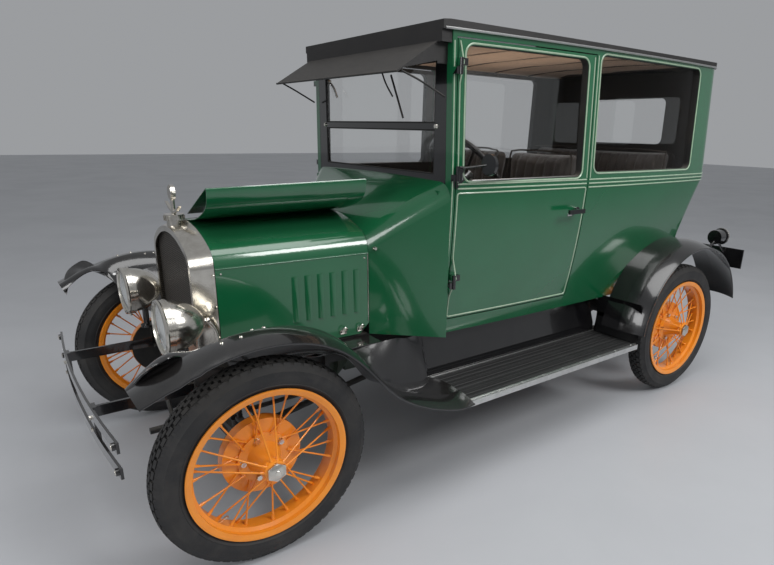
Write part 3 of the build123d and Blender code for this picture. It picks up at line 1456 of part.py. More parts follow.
# Front bumper: two bowed bars on two arms from the frame's ends
bumper_half = 620
bumper_bow = 30
bumper_bars = (522, 432)
bumper_bar_height = 38
bumper_sheet = 9
bumper_front_x = front_axle_x + nose_reach
arm_z = rail_top - 55
with BuildPart() as front_bumper:
    for bar_z in bumper_bars:
        with BuildSketch(Plane.XY.offset(bar_z - bumper_bar_height / 2)):
            with BuildLine():
                front_end = bumper_front_x - bumper_bow
                ThreePointArc((front_end, -bumper_half), (bumper_front_x, 0), (front_end, bumper_half))
                Line((front_end, bumper_half), (front_end - bumper_sheet, bumper_half))
                ThreePointArc(
                    (front_end - bumper_sheet, bumper_half),
                    (bumper_front_x - bumper_sheet, 0),
                    (front_end - bumper_sheet, -bumper_half),
                )
                Line((front_end - bumper_sheet, -bumper_half), (front_end, -bumper_half))
            make_face()
        extrude(amount=bumper_bar_height)
        for side, _ in sides:
            with Locations(Plane((front_end + 4, side * (bumper_half - 22), bar_z), z_dir=(1, 0, 0))):
                Cylinder(13, 14)
    for side, _ in sides:
        clamp_x = bumper_front_x - bumper_bow * (rail_y / bumper_half) ** 2 - bumper_sheet - 5
        with Locations((clamp_x, side * rail_y, (bumper_bars[0] + bumper_bars[1]) / 2)):
            Box(12, 44, bumper_bars[0] - bumper_bars[1] + bumper_bar_height + 8)
        arm_start = frame_front_x + seat_gap
        with Locations(((arm_start + clamp_x) / 2, side * rail_y, bumper_bars[0])):
            Box(clamp_x - arm_start, 12, 40)
front_bumper.part.label = "front_bumper"
export_step(front_bumper.part, "parts/front_bumper.step")

# Tail lamp and blank plate holder on a bracket from the left rear fender
tail_lamp_x = rear_axle_x - 460
tail_lamp_y = 670
tail_lamp_z = 870
tail_end_x = rear_axle_x - tail_reach
fender_point_x = rear_axle_x - 330
fender_point_z = rear_fender_z + sqrt((rear_fender_radius + 22) ** 2 - 330**2) + seat_gap
with BuildPart() as tail_lamp:
    with BuildSketch(Plane.YZ.offset(tail_lamp_x + 36)):
        with Locations((tail_lamp_y, tail_lamp_z)):
            Circle(44)
    extrude(amount=-72)
    with BuildSketch(Plane.YZ.offset(tail_lamp_x - 36)):
        with Locations((tail_lamp_y, tail_lamp_z)):
            Circle(50)
    extrude(amount=-12)
    bracket_foot = (fender_point_x, tail_lamp_y, fender_point_z + 5.4)
    add(bar(bracket_foot, (tail_lamp_x + 10, tail_lamp_y, tail_lamp_z - 20), 10))
    add(bar((tail_lamp_x - 30, tail_lamp_y, tail_lamp_z - 40), (tail_end_x + 10, tail_lamp_y, 765), 7))
    with Locations((tail_end_x + 4, tail_lamp_y, 735)):
        Box(8, 250, 120)
tail_lamp.part.label = "tail_lamp"
export_step(tail_lamp.part, "parts/tail_lamp.step")
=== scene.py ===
from math import cos, pi, radians, sin

import bmesh
import bpy
from bpy.props import FloatProperty, IntProperty, PointerProperty
from mathutils import Matrix, Vector
from mathutils.bvhtree import BVHTree


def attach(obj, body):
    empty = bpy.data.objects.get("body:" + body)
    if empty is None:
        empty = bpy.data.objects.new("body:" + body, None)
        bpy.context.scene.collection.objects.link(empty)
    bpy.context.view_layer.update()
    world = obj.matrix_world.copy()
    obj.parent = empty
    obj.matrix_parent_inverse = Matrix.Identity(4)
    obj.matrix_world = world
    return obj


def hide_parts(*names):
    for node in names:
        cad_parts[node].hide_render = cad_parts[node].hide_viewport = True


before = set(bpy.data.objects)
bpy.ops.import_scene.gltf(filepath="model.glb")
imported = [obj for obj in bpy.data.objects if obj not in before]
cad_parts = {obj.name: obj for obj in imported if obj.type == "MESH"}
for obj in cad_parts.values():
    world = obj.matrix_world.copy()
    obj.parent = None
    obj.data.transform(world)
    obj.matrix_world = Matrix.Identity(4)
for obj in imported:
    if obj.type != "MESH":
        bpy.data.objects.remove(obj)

bl_info = {
    "name": "Vintage Car Dressing",
    "version": (1, 0, 0),
    "blender": (4, 5, 0),
    "location": "View3D > Sidebar > Car",
    "description": "Dresses a packed 1920s car with tyres, trim, seats, fittings and paint",
    "category": "Object",
}

# Sizes shared with the solids, in metres
FRONT_AXLE_X = 1.330
REAR_AXLE_X = -1.210
HALF_TREAD = 0.711
TYRE_RADIUS = 0.378
CAMBER = radians(3)
FRONT_HUB_Z = 0.37788
BELT_Z = 1.235
DOOR_FRONT_X = 0.405
DOOR_REAR_X = -0.370
DOOR_BOTTOM_Z = 0.670
DOOR_TOP_Z = 1.800
WINDSHIELD_X = 0.430
HINGE_HEIGHTS = (1.700, 1.300, 0.850)
HINGE_Y = 0.597
HANDLE_X = -0.300
HANDLE_Z = 1.117
MIRROR_PLACE = Vector((0.340, 0.700, 1.340))
LUG_COUNT = 5
LUG_RADIUS = 0.076
LAMP_X = 1.480
LAMP_Y = 0.300
LAMP_Z = 0.775
LAMP_RADIUS = 0.100
TAIL_LAMP = Vector((-1.718, 0.670, 0.870))
NUMBER_PLATE = Vector((-1.7855, 0.670, 0.735))
FAN_Z = 0.695
BOARD_TOP_Z = 0.392
CRANK_Z = 0.425
ROOT = "chassis_and_body"
SIDES = ((1, "left"), (-1, "right"))

# Window openings: rear and front edge, bottom and top
DOOR_WINDOW = (-0.320, 0.365, 1.270, 1.780)
QUARTER_WINDOW = (-1.280, -0.410, 1.290, 1.805)
WINDOW_CORNER = 0.035

# Wheels: corner, side, station, hub height and camber
WHEELS = (
    ("front_left", 1, FRONT_AXLE_X, FRONT_HUB_Z, CAMBER),
    ("front_right", -1, FRONT_AXLE_X, FRONT_HUB_Z, CAMBER),
    ("rear_left", 1, REAR_AXLE_X, TYRE_RADIUS, 0.0),
    ("rear_right", -1, REAR_AXLE_X, TYRE_RADIUS, 0.0),
)

coats = {}
groups = {}


# Node groups and materials


def add_node(tree, kind, inputs=None, **settings):
    """A new node with its settings and inputs; an input given as a socket is linked."""
    node = tree.nodes.new(kind)
    for name, value in settings.items():
        setattr(node, name, value)
    for name, value in (inputs or {}).items():
        if isinstance(value, bpy.types.NodeSocket):
            tree.links.new(value, node.inputs[name])
        else:
            node.inputs[name].default_value = value
    return node


def add_math(tree, operation, *values, **settings):
    """The value of a math node."""
    node = add_node(tree, "ShaderNodeMath", dict(enumerate(values)), operation=operation, **settings)
    return node.outputs["Value"]


def add_noise(tree, **inputs):
    """The value of a noise texture."""
    return add_node(tree, "ShaderNodeTexNoise", inputs).outputs["Fac"]


def add_range(tree, value, inputs):
    """A value mapped from one range to another."""
    return add_node(tree, "ShaderNodeMapRange", {"Value": value, **inputs}).outputs["Result"]


def add_mix(tree, factor, first, second):
    """A colour between two others."""
    node = add_node(tree, "ShaderNodeMix", {"Factor": factor, 6: first, 7: second}, data_type="RGBA")
    return node.outputs[2]


def add_bump(tree, height, strength, distance, **settings):
    """The normal of a bumped surface."""
    inputs = {"Height": height, "Strength": strength, "Distance": distance}
    return add_node(tree, "ShaderNodeBump", inputs, **settings).outputs["Normal"]


def new_group(name, inputs):
    """An empty shader group: its tree, the sockets it is given and the object's coordinates."""
    tree = bpy.data.node_groups.new(name, "ShaderNodeTree")
    for label, kind, value in inputs:
        socket = tree.interface.new_socket(name=label, in_out="INPUT", socket_type=f"NodeSocket{kind}")
        socket.default_value = value
    for label, kind in (("Color", "Color"), ("Roughness", "Float"), ("Normal", "Vector")):
        tree.interface.new_socket(name=label, in_out="OUTPUT", socket_type=f"NodeSocket{kind}")
    groups[name] = tree
    place = add_node(tree, "ShaderNodeTexCoord").outputs["Object"]
    return tree, tree.nodes.new("NodeGroupInput").outputs, place


def end_group(tree, colour, roughness, normal):
    """Links the three results of a group."""
    add_node(tree, "NodeGroupOutput", {"Color": colour, "Roughness": roughness, "Normal": normal})


def make_worn_group():
    """Mottled colour with dust on upward faces, varied gloss and a fine bump."""
    tree, given, place = new_group(
        "Worn Surface",
        (
            ("Color", "Color", (0.5, 0.5, 0.5, 1)),
            ("Stain", "Color", (0.3, 0.3, 0.3, 1)),
            ("Stain Amount", "Float", 0.3),
            ("Dust", "Float", 0.1),
            ("Scale", "Float", 6.0),
            ("Gloss Low", "Float", 0.2),
            ("Gloss High", "Float", 0.4),
            ("Bump", "Float", 0.1),
            ("Bump Scale", "Float", 120.0),
        ),
    )
    blotch = add_noise(tree, Vector=place, Scale=given["Scale"], Detail=8.0, Roughness=0.62, Distortion=0.4)
    spread = add_range(tree, blotch, {"From Min": 0.42, "From Max": 0.72})
    amount = add_math(tree, "MULTIPLY", spread, given["Stain Amount"])
    stained = add_mix(tree, amount, given["Color"], given["Stain"])
    facing = add_node(tree, "ShaderNodeNewGeometry").outputs["Normal"]
    upward = add_node(tree, "ShaderNodeSeparateXYZ", {"Vector": facing}).outputs["Z"]
    lying = add_range(tree, upward, {"From Min": 0.25, "From Max": 1.0})
    speck = add_noise(tree, Vector=place, Scale=38.0, Detail=6.0, Roughness=0.7)
    settled = add_math(tree, "MULTIPLY", lying, speck)
    dusty = add_math(tree, "MULTIPLY", settled, given["Dust"])
    covered = add_mix(tree, dusty, stained, (0.36, 0.33, 0.28, 1))
    gloss = add_range(tree, blotch, {"To Min": given["Gloss Low"], "To Max": given["Gloss High"]})
    dull = add_math(tree, "ADD", gloss, dusty, use_clamp=True)
    pores = add_noise(tree, Vector=place, Scale=given["Bump Scale"], Detail=4.0)
    end_group(tree, covered, dull, add_bump(tree, pores, given["Bump"], 0.002))


def make_woven_group():
    """Crossing sets of threads with soft colour variation."""
    tree, given, place = new_group(
        "Woven Cloth",
        (
            ("Color", "Color", (0.3, 0.25, 0.2, 1)),
            ("Thread", "Color", (0.2, 0.15, 0.1, 1)),
            ("Scale", "Float", 300.0),
            ("Bump", "Float", 0.4),
        ),
    )
    heights = []
    for direction in ("X", "Y", "Z"):
        inputs = {"Vector": place, "Scale": given["Scale"], "Distortion": 1.5, "Detail": 1.0}
        threads = add_node(tree, "ShaderNodeTexWave", inputs, bands_direction=direction)
        heights.append(threads.outputs["Fac"])
    woven = add_math(tree, "ADD", add_math(tree, "MULTIPLY", heights[0], heights[1]), heights[2])
    shade = add_noise(tree, Vector=place, Scale=9.0, Detail=5.0)
    blend = add_math(tree, "MULTIPLY", woven, shade)
    colour = add_mix(tree, blend, given["Color"], given["Thread"])
    rough = add_range(tree, shade, {"To Min": 0.75, "To Max": 0.95})
    end_group(tree, colour, rough, add_bump(tree, woven, given["Bump"], 0.001))


def make_ribbed_group():
    """Parallel ribs along one direction, for lenses and mats, with painted shade in the grooves."""
    tree, given, place = new_group(
        "Ribbed Surface",
        (
            ("Color", "Color", (0.1, 0.1, 0.1, 1)),
            ("Groove Shade", "Color", (0.02, 0.02, 0.02, 1)),
            ("Direction", "Vector", (0, 1, 0)),
            ("Pitch", "Float", 100.0),
            ("Gloss", "Float", 0.4),
            ("Bump", "Float", 0.6),
        ),
    )
    inputs = {0: place, 1: given["Direction"]}
    along = add_node(tree, "ShaderNodeVectorMath", inputs, operation="DOT_PRODUCT").outputs["Value"]
    count = add_math(tree, "MULTIPLY", along, given["Pitch"])
    wave = add_math(tree, "PINGPONG", count, 1.0)
    shade = add_noise(tree, Vector=place, Scale=14.0, Detail=6.0)
    height = add_math(tree, "SMOOTH_MIN", wave, 0.6, 0.3)
    # Painted shade: the grooves between the ribs take the darker colour
    colour = add_mix(tree, height, given["Groove Shade"], given["Color"])
    rough = add_math(tree, "MULTIPLY_ADD", shade, 0.3, given["Gloss"])
    end_group(tree, colour, rough, add_bump(tree, height, given["Bump"], 0.002))


def make_cells_group():
    """Small cells of a honeycomb radiator core, with painted shade in the middle of each cell."""
    tree, given, place = new_group(
        "Core Cells",
        (
            ("Color", "Color", (0.2, 0.18, 0.15, 1)),
            ("Depth", "Color", (0.01, 0.01, 0.01, 1)),
            ("Scale", "Float", 110.0),
        ),
    )
    inputs = {"Vector": place, "Scale": given["Scale"], "Randomness": 0.0}
    cells = add_node(tree, "ShaderNodeTexVoronoi", inputs, feature="DISTANCE_TO_EDGE").outputs["Distance"]
    wall = add_range(tree, cells, {"From Min": 0.05, "From Max": 0.16})
    # Painted shade: the middle of each cell takes the dark colour, away from its walls
    colour = add_mix(tree, wall, given["Color"], given["Depth"])
    rough = add_range(tree, wall, {"To Min": 0.35, "To Max": 0.8})
    end_group(tree, colour, rough, add_bump(tree, wall, 0.8, 0.004, invert=True))


def coat(name, group, values, shader):
    """A material whose colour, roughness and normal come from a group; the rest is set on the shader."""
    material = bpy.data.materials.new(name)
    material.use_nodes = True
    tree = material.node_tree
    surface = tree.nodes["Principled BSDF"]
    for label, value in shader.items():
        surface.inputs[label].default_value = value
    pattern = add_node(tree, "ShaderNodeGroup", node_tree=groups[group])
    for socket, value in zip(pattern.inputs, values):
        socket.default_value = (*value, 1) if socket.type == "RGBA" else value
    for output, entry in (("Color", "Base Color"), ("Roughness", "Roughness"), ("Normal", "Normal")):
        tree.links.new(pattern.outputs[output], surface.inputs[entry])
    coats[name] = material


# Worn coats: colour, stain, stain amount, dust, scale, gloss low and high, bump, bump scale, shader settings
WORN_COATS = {
    "body_green": (
        (0.006, 0.098, 0.036), (0.010, 0.14, 0.056), 0.35, 0.03, 2.2, 0.12, 0.26, 0.03, 60,
        {"Coat Weight": 1.0, "Coat Roughness": 0.05},
    ),
    # Beads: body-green beads given a pale green that is a painted highlight along them
    "bead_green": (
        (0.36, 0.47, 0.34), (0.22, 0.32, 0.22), 0.5, 0.05, 30, 0.2, 0.4, 0.05, 90,
        {"Coat Weight": 0.6},
    ),
    "gloss_black": (
        (0.004, 0.004, 0.005), (0.012, 0.011, 0.011), 0.5, 0.05, 5, 0.12, 0.3, 0.05, 70,
        {"Coat Weight": 0.9, "Coat Roughness": 0.06},
    ),
    "satin_black": ((0.012, 0.012, 0.012), (0.035, 0.03, 0.025), 0.7, 0.3, 14, 0.4, 0.7, 0.2, 140, {}),
    "roof_cloth": ((0.009, 0.008, 0.008), (0.022, 0.02, 0.019), 0.6, 0.12, 9, 0.45, 0.7, 0.6, 420, {}),
    "wheel_orange": (
        (0.90, 0.29, 0.014), (0.70, 0.19, 0.012), 0.45, 0.06, 12, 0.22, 0.42, 0.06, 90,
        {"Coat Weight": 0.5, "Coat Roughness": 0.12},
    ),
    "nickel": ((0.72, 0.69, 0.63), (0.4, 0.37, 0.32), 0.5, 0.06, 18, 0.08, 0.3, 0.05, 60, {"Metallic": 1.0}),
    "aluminium": (
        (0.66, 0.66, 0.65), (0.4, 0.4, 0.39), 0.5, 0.1, 22, 0.25, 0.45, 0.1, 160,
        {"Metallic": 1.0},
    ),
    "brass": ((0.55, 0.36, 0.12), (0.25, 0.15, 0.05), 0.6, 0.05, 25, 0.2, 0.45, 0.08, 90, {"Metallic": 1.0}),
    "engine_iron": ((0.045, 0.07, 0.05), (0.03, 0.022, 0.016), 0.8, 0.15, 11, 0.4, 0.7, 0.35, 130, {}),
    "cast_alloy": (
        (0.32, 0.32, 0.31), (0.12, 0.11, 0.1), 0.8, 0.1, 16, 0.4, 0.65, 0.4, 170,
        {"Metallic": 0.8},
    ),
    "exhaust_rust": ((0.16, 0.085, 0.05), (0.06, 0.045, 0.04), 0.9, 0.1, 20, 0.65, 0.9, 0.6, 150, {}),
    "steel_grey": (
        (0.2, 0.2, 0.2), (0.08, 0.07, 0.06), 0.8, 0.15, 18, 0.4, 0.65, 0.25, 120,
        {"Metallic": 0.7},
    ),
    "tyre_rubber": ((0.016, 0.016, 0.017), (0.06, 0.055, 0.05), 0.55, 0.12, 9, 0.6, 0.85, 0.35, 150, {}),
    "hose_rubber": ((0.01, 0.01, 0.01), (0.04, 0.038, 0.035), 0.6, 0.2, 20, 0.5, 0.8, 0.3, 160, {}),
    "porcelain": (
        (0.75, 0.73, 0.68), (0.5, 0.47, 0.4), 0.4, 0.05, 40, 0.1, 0.25, 0.02, 90,
        {"Coat Weight": 0.8},
    ),
    "wood_box": (
        (0.14, 0.06, 0.025), (0.07, 0.03, 0.012), 0.8, 0.1, 30, 0.3, 0.5, 0.15, 200,
        {"Coat Weight": 0.4},
    ),
    "hard_rubber": (
        (0.01, 0.009, 0.009), (0.03, 0.026, 0.022), 0.5, 0.08, 16, 0.2, 0.4, 0.08, 100,
        {"Coat Weight": 0.4},
    ),
    "dial_face": (
        (0.6, 0.57, 0.48), (0.45, 0.4, 0.3), 0.4, 0.02, 60, 0.3, 0.45, 0.02, 90,
        {"Coat Weight": 1.0},
    ),
    "red_lens": (
        (0.42, 0.008, 0.006), (0.25, 0.004, 0.004), 0.5, 0.05, 80, 0.08, 0.2, 0.3, 300,
        {"Coat Weight": 1.0},
    ),
    "plate_white": ((0.55, 0.55, 0.5), (0.38, 0.36, 0.3), 0.5, 0.1, 20, 0.35, 0.5, 0.1, 90, {}),
    "door_lining": ((0.02, 0.018, 0.016), (0.04, 0.034, 0.028), 0.6, 0.1, 24, 0.6, 0.85, 0.5, 500, {}),
    "window_glass": (
        (0.9, 0.94, 0.92), (0.75, 0.78, 0.75), 0.4, 0.2, 5.0, 0.0, 0.04, 0.0, 40.0,
        {"Transmission Weight": 1.0, "IOR": 1.12, "Alpha": 0.12},
    ),
    "stage_floor": ((0.46, 0.47, 0.49), (0.38, 0.39, 0.41), 0.4, 0.0, 0.9, 0.35, 0.55, 0.08, 24.0, {}),
}

# Woven coats: colour, thread colour, scale, bump, shader settings
WOVEN_COATS = {
    # Headlining: tan cloth made lighter than its own colour, partly painted light on the shaded cabin roof
    "headlining": ((0.72, 0.46, 0.29), (0.5, 0.3, 0.18), 260, 0.35, {"Sheen Weight": 0.3}),
    "seat_cloth": (
        (0.035, 0.028, 0.025), (0.08, 0.066, 0.056), 340, 0.5,
        {"Sheen Weight": 0.5, "Sheen Roughness": 0.4},
    ),
    "welt_cord": ((0.03, 0.022, 0.018), (0.06, 0.05, 0.04), 600, 0.5, {}),
    "loom_braid": ((0.06, 0.045, 0.02), (0.02, 0.016, 0.01), 900, 0.6, {}),
}

# Ribbed coats: colour, painted shade of the grooves, direction, ribs per metre, gloss, bump, shader settings
RIBBED_COATS = {
    "lamp_lens": (
        (0.78, 0.8, 0.78), (0.45, 0.47, 0.46), (0, 1, 0), 160, 0.03, 0.35,
        {"Coat Weight": 1.0, "Metallic": 0.35},
    ),
    "board_mat": ((0.03, 0.03, 0.03), (0.008, 0.008, 0.008), (0, 1, 0), 110, 0.35, 0.9, {}),
    "floor_mat": ((0.025, 0.024, 0.022), (0.01, 0.01, 0.01), (0, 1, 0), 130, 0.5, 0.8, {}),
}

# Cell coats: colour, painted shade in the cells, scale, shader settings
CELL_COATS = {"core_cells": ((0.1, 0.085, 0.07), (0.004, 0.004, 0.004), 110.0, {})}


def make_coats():
    """Every material of the car."""
    make_worn_group()
    make_woven_group()
    make_ribbed_group()
    make_cells_group()
    tables = (
        ("Worn Surface", WORN_COATS),
        ("Woven Cloth", WOVEN_COATS),
        ("Ribbed Surface", RIBBED_COATS),
        ("Core Cells", CELL_COATS),
    )
    for group, rows in tables:
        for name, (*values, shader) in rows.items():
            coat(name, group, values, shader)


# Mesh helpers

UNTURNED = Matrix.Identity(4)


def add_rod(bm, start, end, radius, sides=16, end_radius=None):
    """A round bar, or a cone where its end has another radius."""
    start = Vector(start)
    run = Vector(end) - start
    turn = run.to_track_quat("Z", "Y").to_matrix().to_4x4()
    bmesh.ops.create_cone(
        bm,
        cap_ends=True,
        segments=sides,
        radius1=radius,
        radius2=radius if end_radius is None else end_radius,
        depth=run.length,
        matrix=Matrix.Translation(start + run / 2) @ turn,
    )


def add_stub(bm, start, run, radius, sides=16, end_radius=None):
    """A rod from a point along a run."""
    start = Vector(start)
    add_rod(bm, start, start + Vector(run), radius, sides, end_radius)


def add_block(bm, middle, size, turn=None):
    """A block with its edges rounded."""
    matrix = Matrix.Translation(middle) @ (turn or UNTURNED) @ Matrix.Diagonal((*size, 1))
    verts = bmesh.ops.create_cube(bm, size=1, matrix=matrix)["verts"]
    edges = {edge for vert in verts for edge in vert.link_edges}
    bmesh.ops.bevel(
        bm, geom=list(edges), offset=min(size) * 0.22, segments=2, profile=0.5, affect="EDGES", material=-1
    )


def add_tube(bm, points, radius, sides=8, closed=False):
    """A round tube along a line of points."""
    points = [Vector(point) for point in points]
    last = len(points) - 1
    rings = []
    up = None
    for number, point in enumerate(points):
        before = points[number - 1] if number or closed else point
        after = points[(number + 1) % len(points)] if number < last or closed else point
        along = (after - before).normalized()
        if up is None:
            up = along.orthogonal().normalized()
        side = along.cross(up).normalized()
        up = side.cross(along).normalized()
        angles = [2 * pi * step / sides for step in range(sides)]
        rings.append([bm.verts.new(point + (side * cos(a) + up * sin(a)) * radius) for a in angles])
    pairs = list(zip(rings, rings[1:]))
    if closed:
        pairs.append((rings[-1], rings[0]))
    else:
        bm.faces.new(list(reversed(rings[0])))
        bm.faces.new(rings[-1])
    for first, second in pairs:
        for step in range(sides):
            following = (step + 1) % sides
            bm.faces.new((first[step], first[following], second[following], second[step]))


def fill_grid(bm, rows):
    """Faces between rows of vertices."""
    for first, second in zip(rows, rows[1:]):
        for corners in zip(first, first[1:], second[1:], second):
            bm.faces.new(corners)


def smooth_path(points, steps=6):
    """A rounded line through a few points."""
    points = [Vector(point) for point in points]
    padded = [points[0] * 2 - points[1], *points, points[-1] * 2 - points[-2]]
    line = []
    for a, b, c, d in zip(padded, padded[1:], padded[2:], padded[3:]):
        for step in range(steps):
            t = step / steps
            bend = (2 * a - 5 * b + 4 * c - d) * t * t + (3 * b - a - 3 * c + d) * t**3
            line.append(0.5 * (2 * b + (c - a) * t + bend))
    line.append(points[-1])
    return line


def add_spun(bm, profile, matrix, steps=48):
    """A closed profile of (radius, height) turned about the matrix's Z axis."""
    earlier = set(bm.verts)
    verts = [bm.verts.new((radius, 0, height)) for radius, height in profile]
    edges = [bm.edges.new((a, b)) for a, b in zip(verts, verts[1:])]
    if profile[0][0] > 1e-6 and profile[-1][0] > 1e-6:
        edges.append(bm.edges.new((verts[-1], verts[0])))
    bmesh.ops.spin(
        bm, geom=verts + edges, axis=(0, 0, 1), cent=(0, 0, 0), angle=2 * pi, steps=steps, use_merge=True
    )
    made = [vert for vert in bm.verts if vert not in earlier]
    bmesh.ops.remove_doubles(bm, verts=made, dist=1e-6)
    made = [vert for vert in bm.verts if vert not in earlier]
    bmesh.ops.transform(bm, matrix=matrix, verts=made)


def piece(name, bm, materials, body, replaces=(), crease=35):
    """Turns a bmesh into a finished piece that rides on a body."""
    bmesh.ops.recalc_face_normals(bm, faces=bm.faces)
    mesh = bpy.data.meshes.new(name)
    bm.to_mesh(mesh)
    bm.free()
    for material in [materials] if isinstance(materials, str) else materials:
        mesh.materials.append(coats[material])
    mesh.polygons.foreach_set("use_smooth", [True] * len(mesh.polygons))
    mesh.set_sharp_from_angle(angle=radians(crease))
    obj = bpy.data.objects.new(name, mesh)
    bpy.context.scene.collection.objects.link(obj)
    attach(obj, body)
    if replaces:
        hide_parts(*replaces)


def skin(*nodes):
    """A search tree over the surface of CAD nodes."""
    verts = []
    faces = []
    for name in nodes:
        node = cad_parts[name]
        base = len(verts)
        verts += [node.matrix_world @ vert.co for vert in node.data.vertices]
        faces += [[base + index for index in polygon.vertices] for polygon in node.data.polygons]
    return BVHTree.FromPolygons(verts, faces)


def laid(tree, start, direction, lift=0.0):
    """Where a ray meets the surface, lifted off it."""
    direction = Vector(direction).normalized()
    place, normal, _, _ = tree.ray_cast(Vector(start), direction)
    if place is None:
        return None
    if normal.dot(direction) > 0:
        normal = -normal
    return place + normal * lift


def side_line(tree, places, side, lift=0.0):
    """Points (x, z) laid on the outside of the car's side."""
    found = [laid(tree, (x, side * 1.3, z), (0, -side, 0), lift) for x, z in places]
    return [point for point in found if point is not None]


def rounded_outline(x_low, x_high, z_low, z_high, radius, steps=6):
    """Closed rounded rectangle of (x, z) points."""
    outline = []
    corners = ((x_high, z_high, 0), (x_low, z_high, 90), (x_low, z_low, 180), (x_high, z_low, 270))
    for x, z, start in corners:
        centre_x = x - radius if x == x_high else x + radius
        centre_z = z - radius if z == z_high else z + radius
        for step in range(steps + 1):
            angle = radians(start + 90 * step / steps)
            outline.append((centre_x + radius * cos(angle), centre_z + radius * sin(angle)))
    dense = []
    for (x0, z0), (x1, z1) in zip(outline, outline[1:] + outline[:1]):
        parts = max(1, int(max(abs(x1 - x0), abs(z1 - z0)) / 0.08))
        for part in range(parts):
            dense.append((x0 + (x1 - x0) * part / parts, z0 + (z1 - z0) * part / parts))
    return dense


def spaced(first, last, count):
    """Evenly spaced numbers, both ends included."""
    return [first + (last - first) * step / (count - 1) for step in range(count)]


def hub_matrix(side, station, height, camber):
    """Frame of a wheel: its Z axis points outwards along the axle."""
    axis = Vector((0, side * cos(camber), -sin(camber)))
    x_axis = Vector((1, 0, 0))
    y_axis = axis.cross(x_axis)
    turn = Matrix((x_axis, y_axis, axis)).transposed().to_4x4()
    return Matrix.Translation((station, side * HALF_TREAD, height)) @ turn


def paint(node, base, patches=()):
    """Gives a CAD node its material, and another one to each patch of its faces."""
    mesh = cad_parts[node].data
    mesh.materials.clear()
    mesh.materials.append(coats[base])
    for name, _ in patches:
        mesh.materials.append(coats[name])
    for polygon in mesh.polygons:
        chosen = 0
        for number, (_, belongs) in enumerate(patches, 1):
            if belongs(polygon.center, polygon.normal):
                chosen = number
        polygon.material_index = chosen


# Settings


class TyreSettings(bpy.types.PropertyGroup):
    blocks: IntProperty(
        name="Blocks", description="Tread blocks round each tyre", default=64, min=12
    )
    tread_top: FloatProperty(
        name="Tread radius", description="Radius over the blocks", default=0.3776, unit="LENGTH"
    )
    groove: FloatProperty(
        name="Groove", description="Depth of the tread's grooves", default=0.007, unit="LENGTH"
    )


class TrimSettings(bpy.types.PropertyGroup):
    bead: FloatProperty(
        name="Bead", description="Radius of the body's beads", default=0.0035, unit="LENGTH"
    )
    window_bead: FloatProperty(
        name="Window bead", description="Radius of the moulding round a window", default=0.004, unit="LENGTH"
    )
    drip_rail: FloatProperty(
        name="Drip rail", description="Radius of the drip rail", default=0.005, unit="LENGTH"
    )


class SeatSettings(bpy.types.PropertyGroup):
    voxel: FloatProperty(
        name="Voxel", description="Mesh size of the simulated pads", default=0.014, unit="LENGTH"
    )
    pressure: FloatProperty(name="Pressure", description="Inflation of the pads", default=4.0)
    cap: FloatProperty(
        name="Cap", description="Furthest that a point of a pad may move", default=0.022, unit="LENGTH"
    )
    pleat: FloatProperty(
        name="Pleat", description="Width of a sewn channel", default=0.065, unit="LENGTH"
    )
    pleat_depth: FloatProperty(
        name="Pleat depth", description="Depth of a seam", default=0.006, unit="LENGTH"
    )


class StageSettings(bpy.types.PropertyGroup):
    lens: FloatProperty(
        name="Lens", description="Focal length on a 36 mm sensor", default=26.99, unit="CAMERA"
    )
    heading: FloatProperty(
        name="Heading", description="Camera's turn about the vertical", default=radians(-218), subtype="ANGLE"
    )
    tilt: FloatProperty(
        name="Tilt", description="Camera's tilt from straight down", default=radians(71.6), subtype="ANGLE"
    )
    roll: FloatProperty(
        name="Roll", description="Camera's roll", default=radians(1.3), subtype="ANGLE"
    )


# Surfaces of the carried-over solids


def inside(point, normal):
    """A face of the cabin's walls that looks into the cabin."""
    outward = Vector((point.x + 0.5, point.y, 0))
    outward.x = 0 if -1.30 < point.x < 0.45 else outward.x
    return normal.dot(outward.normalized()) < -0.35


def near(place, reach):
    """A test for faces within a box about a place."""
    place = Vector(place)

    def belongs(point, normal):
        return all(abs(a - b) < c for a, b, c in zip(point, place, reach))

    return belongs


def reveal(window):
    """A test for the faces in the thickness of a window's opening."""
    x_low, x_high, z_low, z_high = window

    def belongs(point, normal):
        within = x_low - 0.02 < point.x < x_high + 0.02 and z_low - 0.02 < point.z < z_high + 0.02
        return within and abs(normal.y) < 0.5

    return belongs


def body_patches(side):
    """Lining, window reveals and hinge leaves of a body side."""
    patches = [("door_lining", inside), ("satin_black", reveal(QUARTER_WINDOW))]
    for height in HINGE_HEIGHTS:
        patches.append(("gloss_black", near((0.42, side * HINGE_Y, height - 0.015), (0.03, 0.024, 0.034))))
    return patches


def door_patches(side):
    """Lining, window reveals, hinges, handle and, on the left, the mirror."""
    patches = [
        ("door_lining", lambda point, normal: inside(point, normal) and abs(point.y) < 0.62),
        ("satin_black", reveal(DOOR_WINDOW)),
    ]
    for height in HINGE_HEIGHTS:
        patches.append(("gloss_black", near((0.402, side * HINGE_Y, height), (0.035, 0.024, 0.034))))
    patches.append(("gloss_black", near((HANDLE_X + 0.03, side * 0.684, HANDLE_Z), (0.13, 0.05, 0.028))))
    if side > 0:
        patches.append(("gloss_black", near((0.345, 0.690, 1.325), (0.075, 0.088, 0.075))))
        patches.append(("nickel", mirror_face))
    return patches


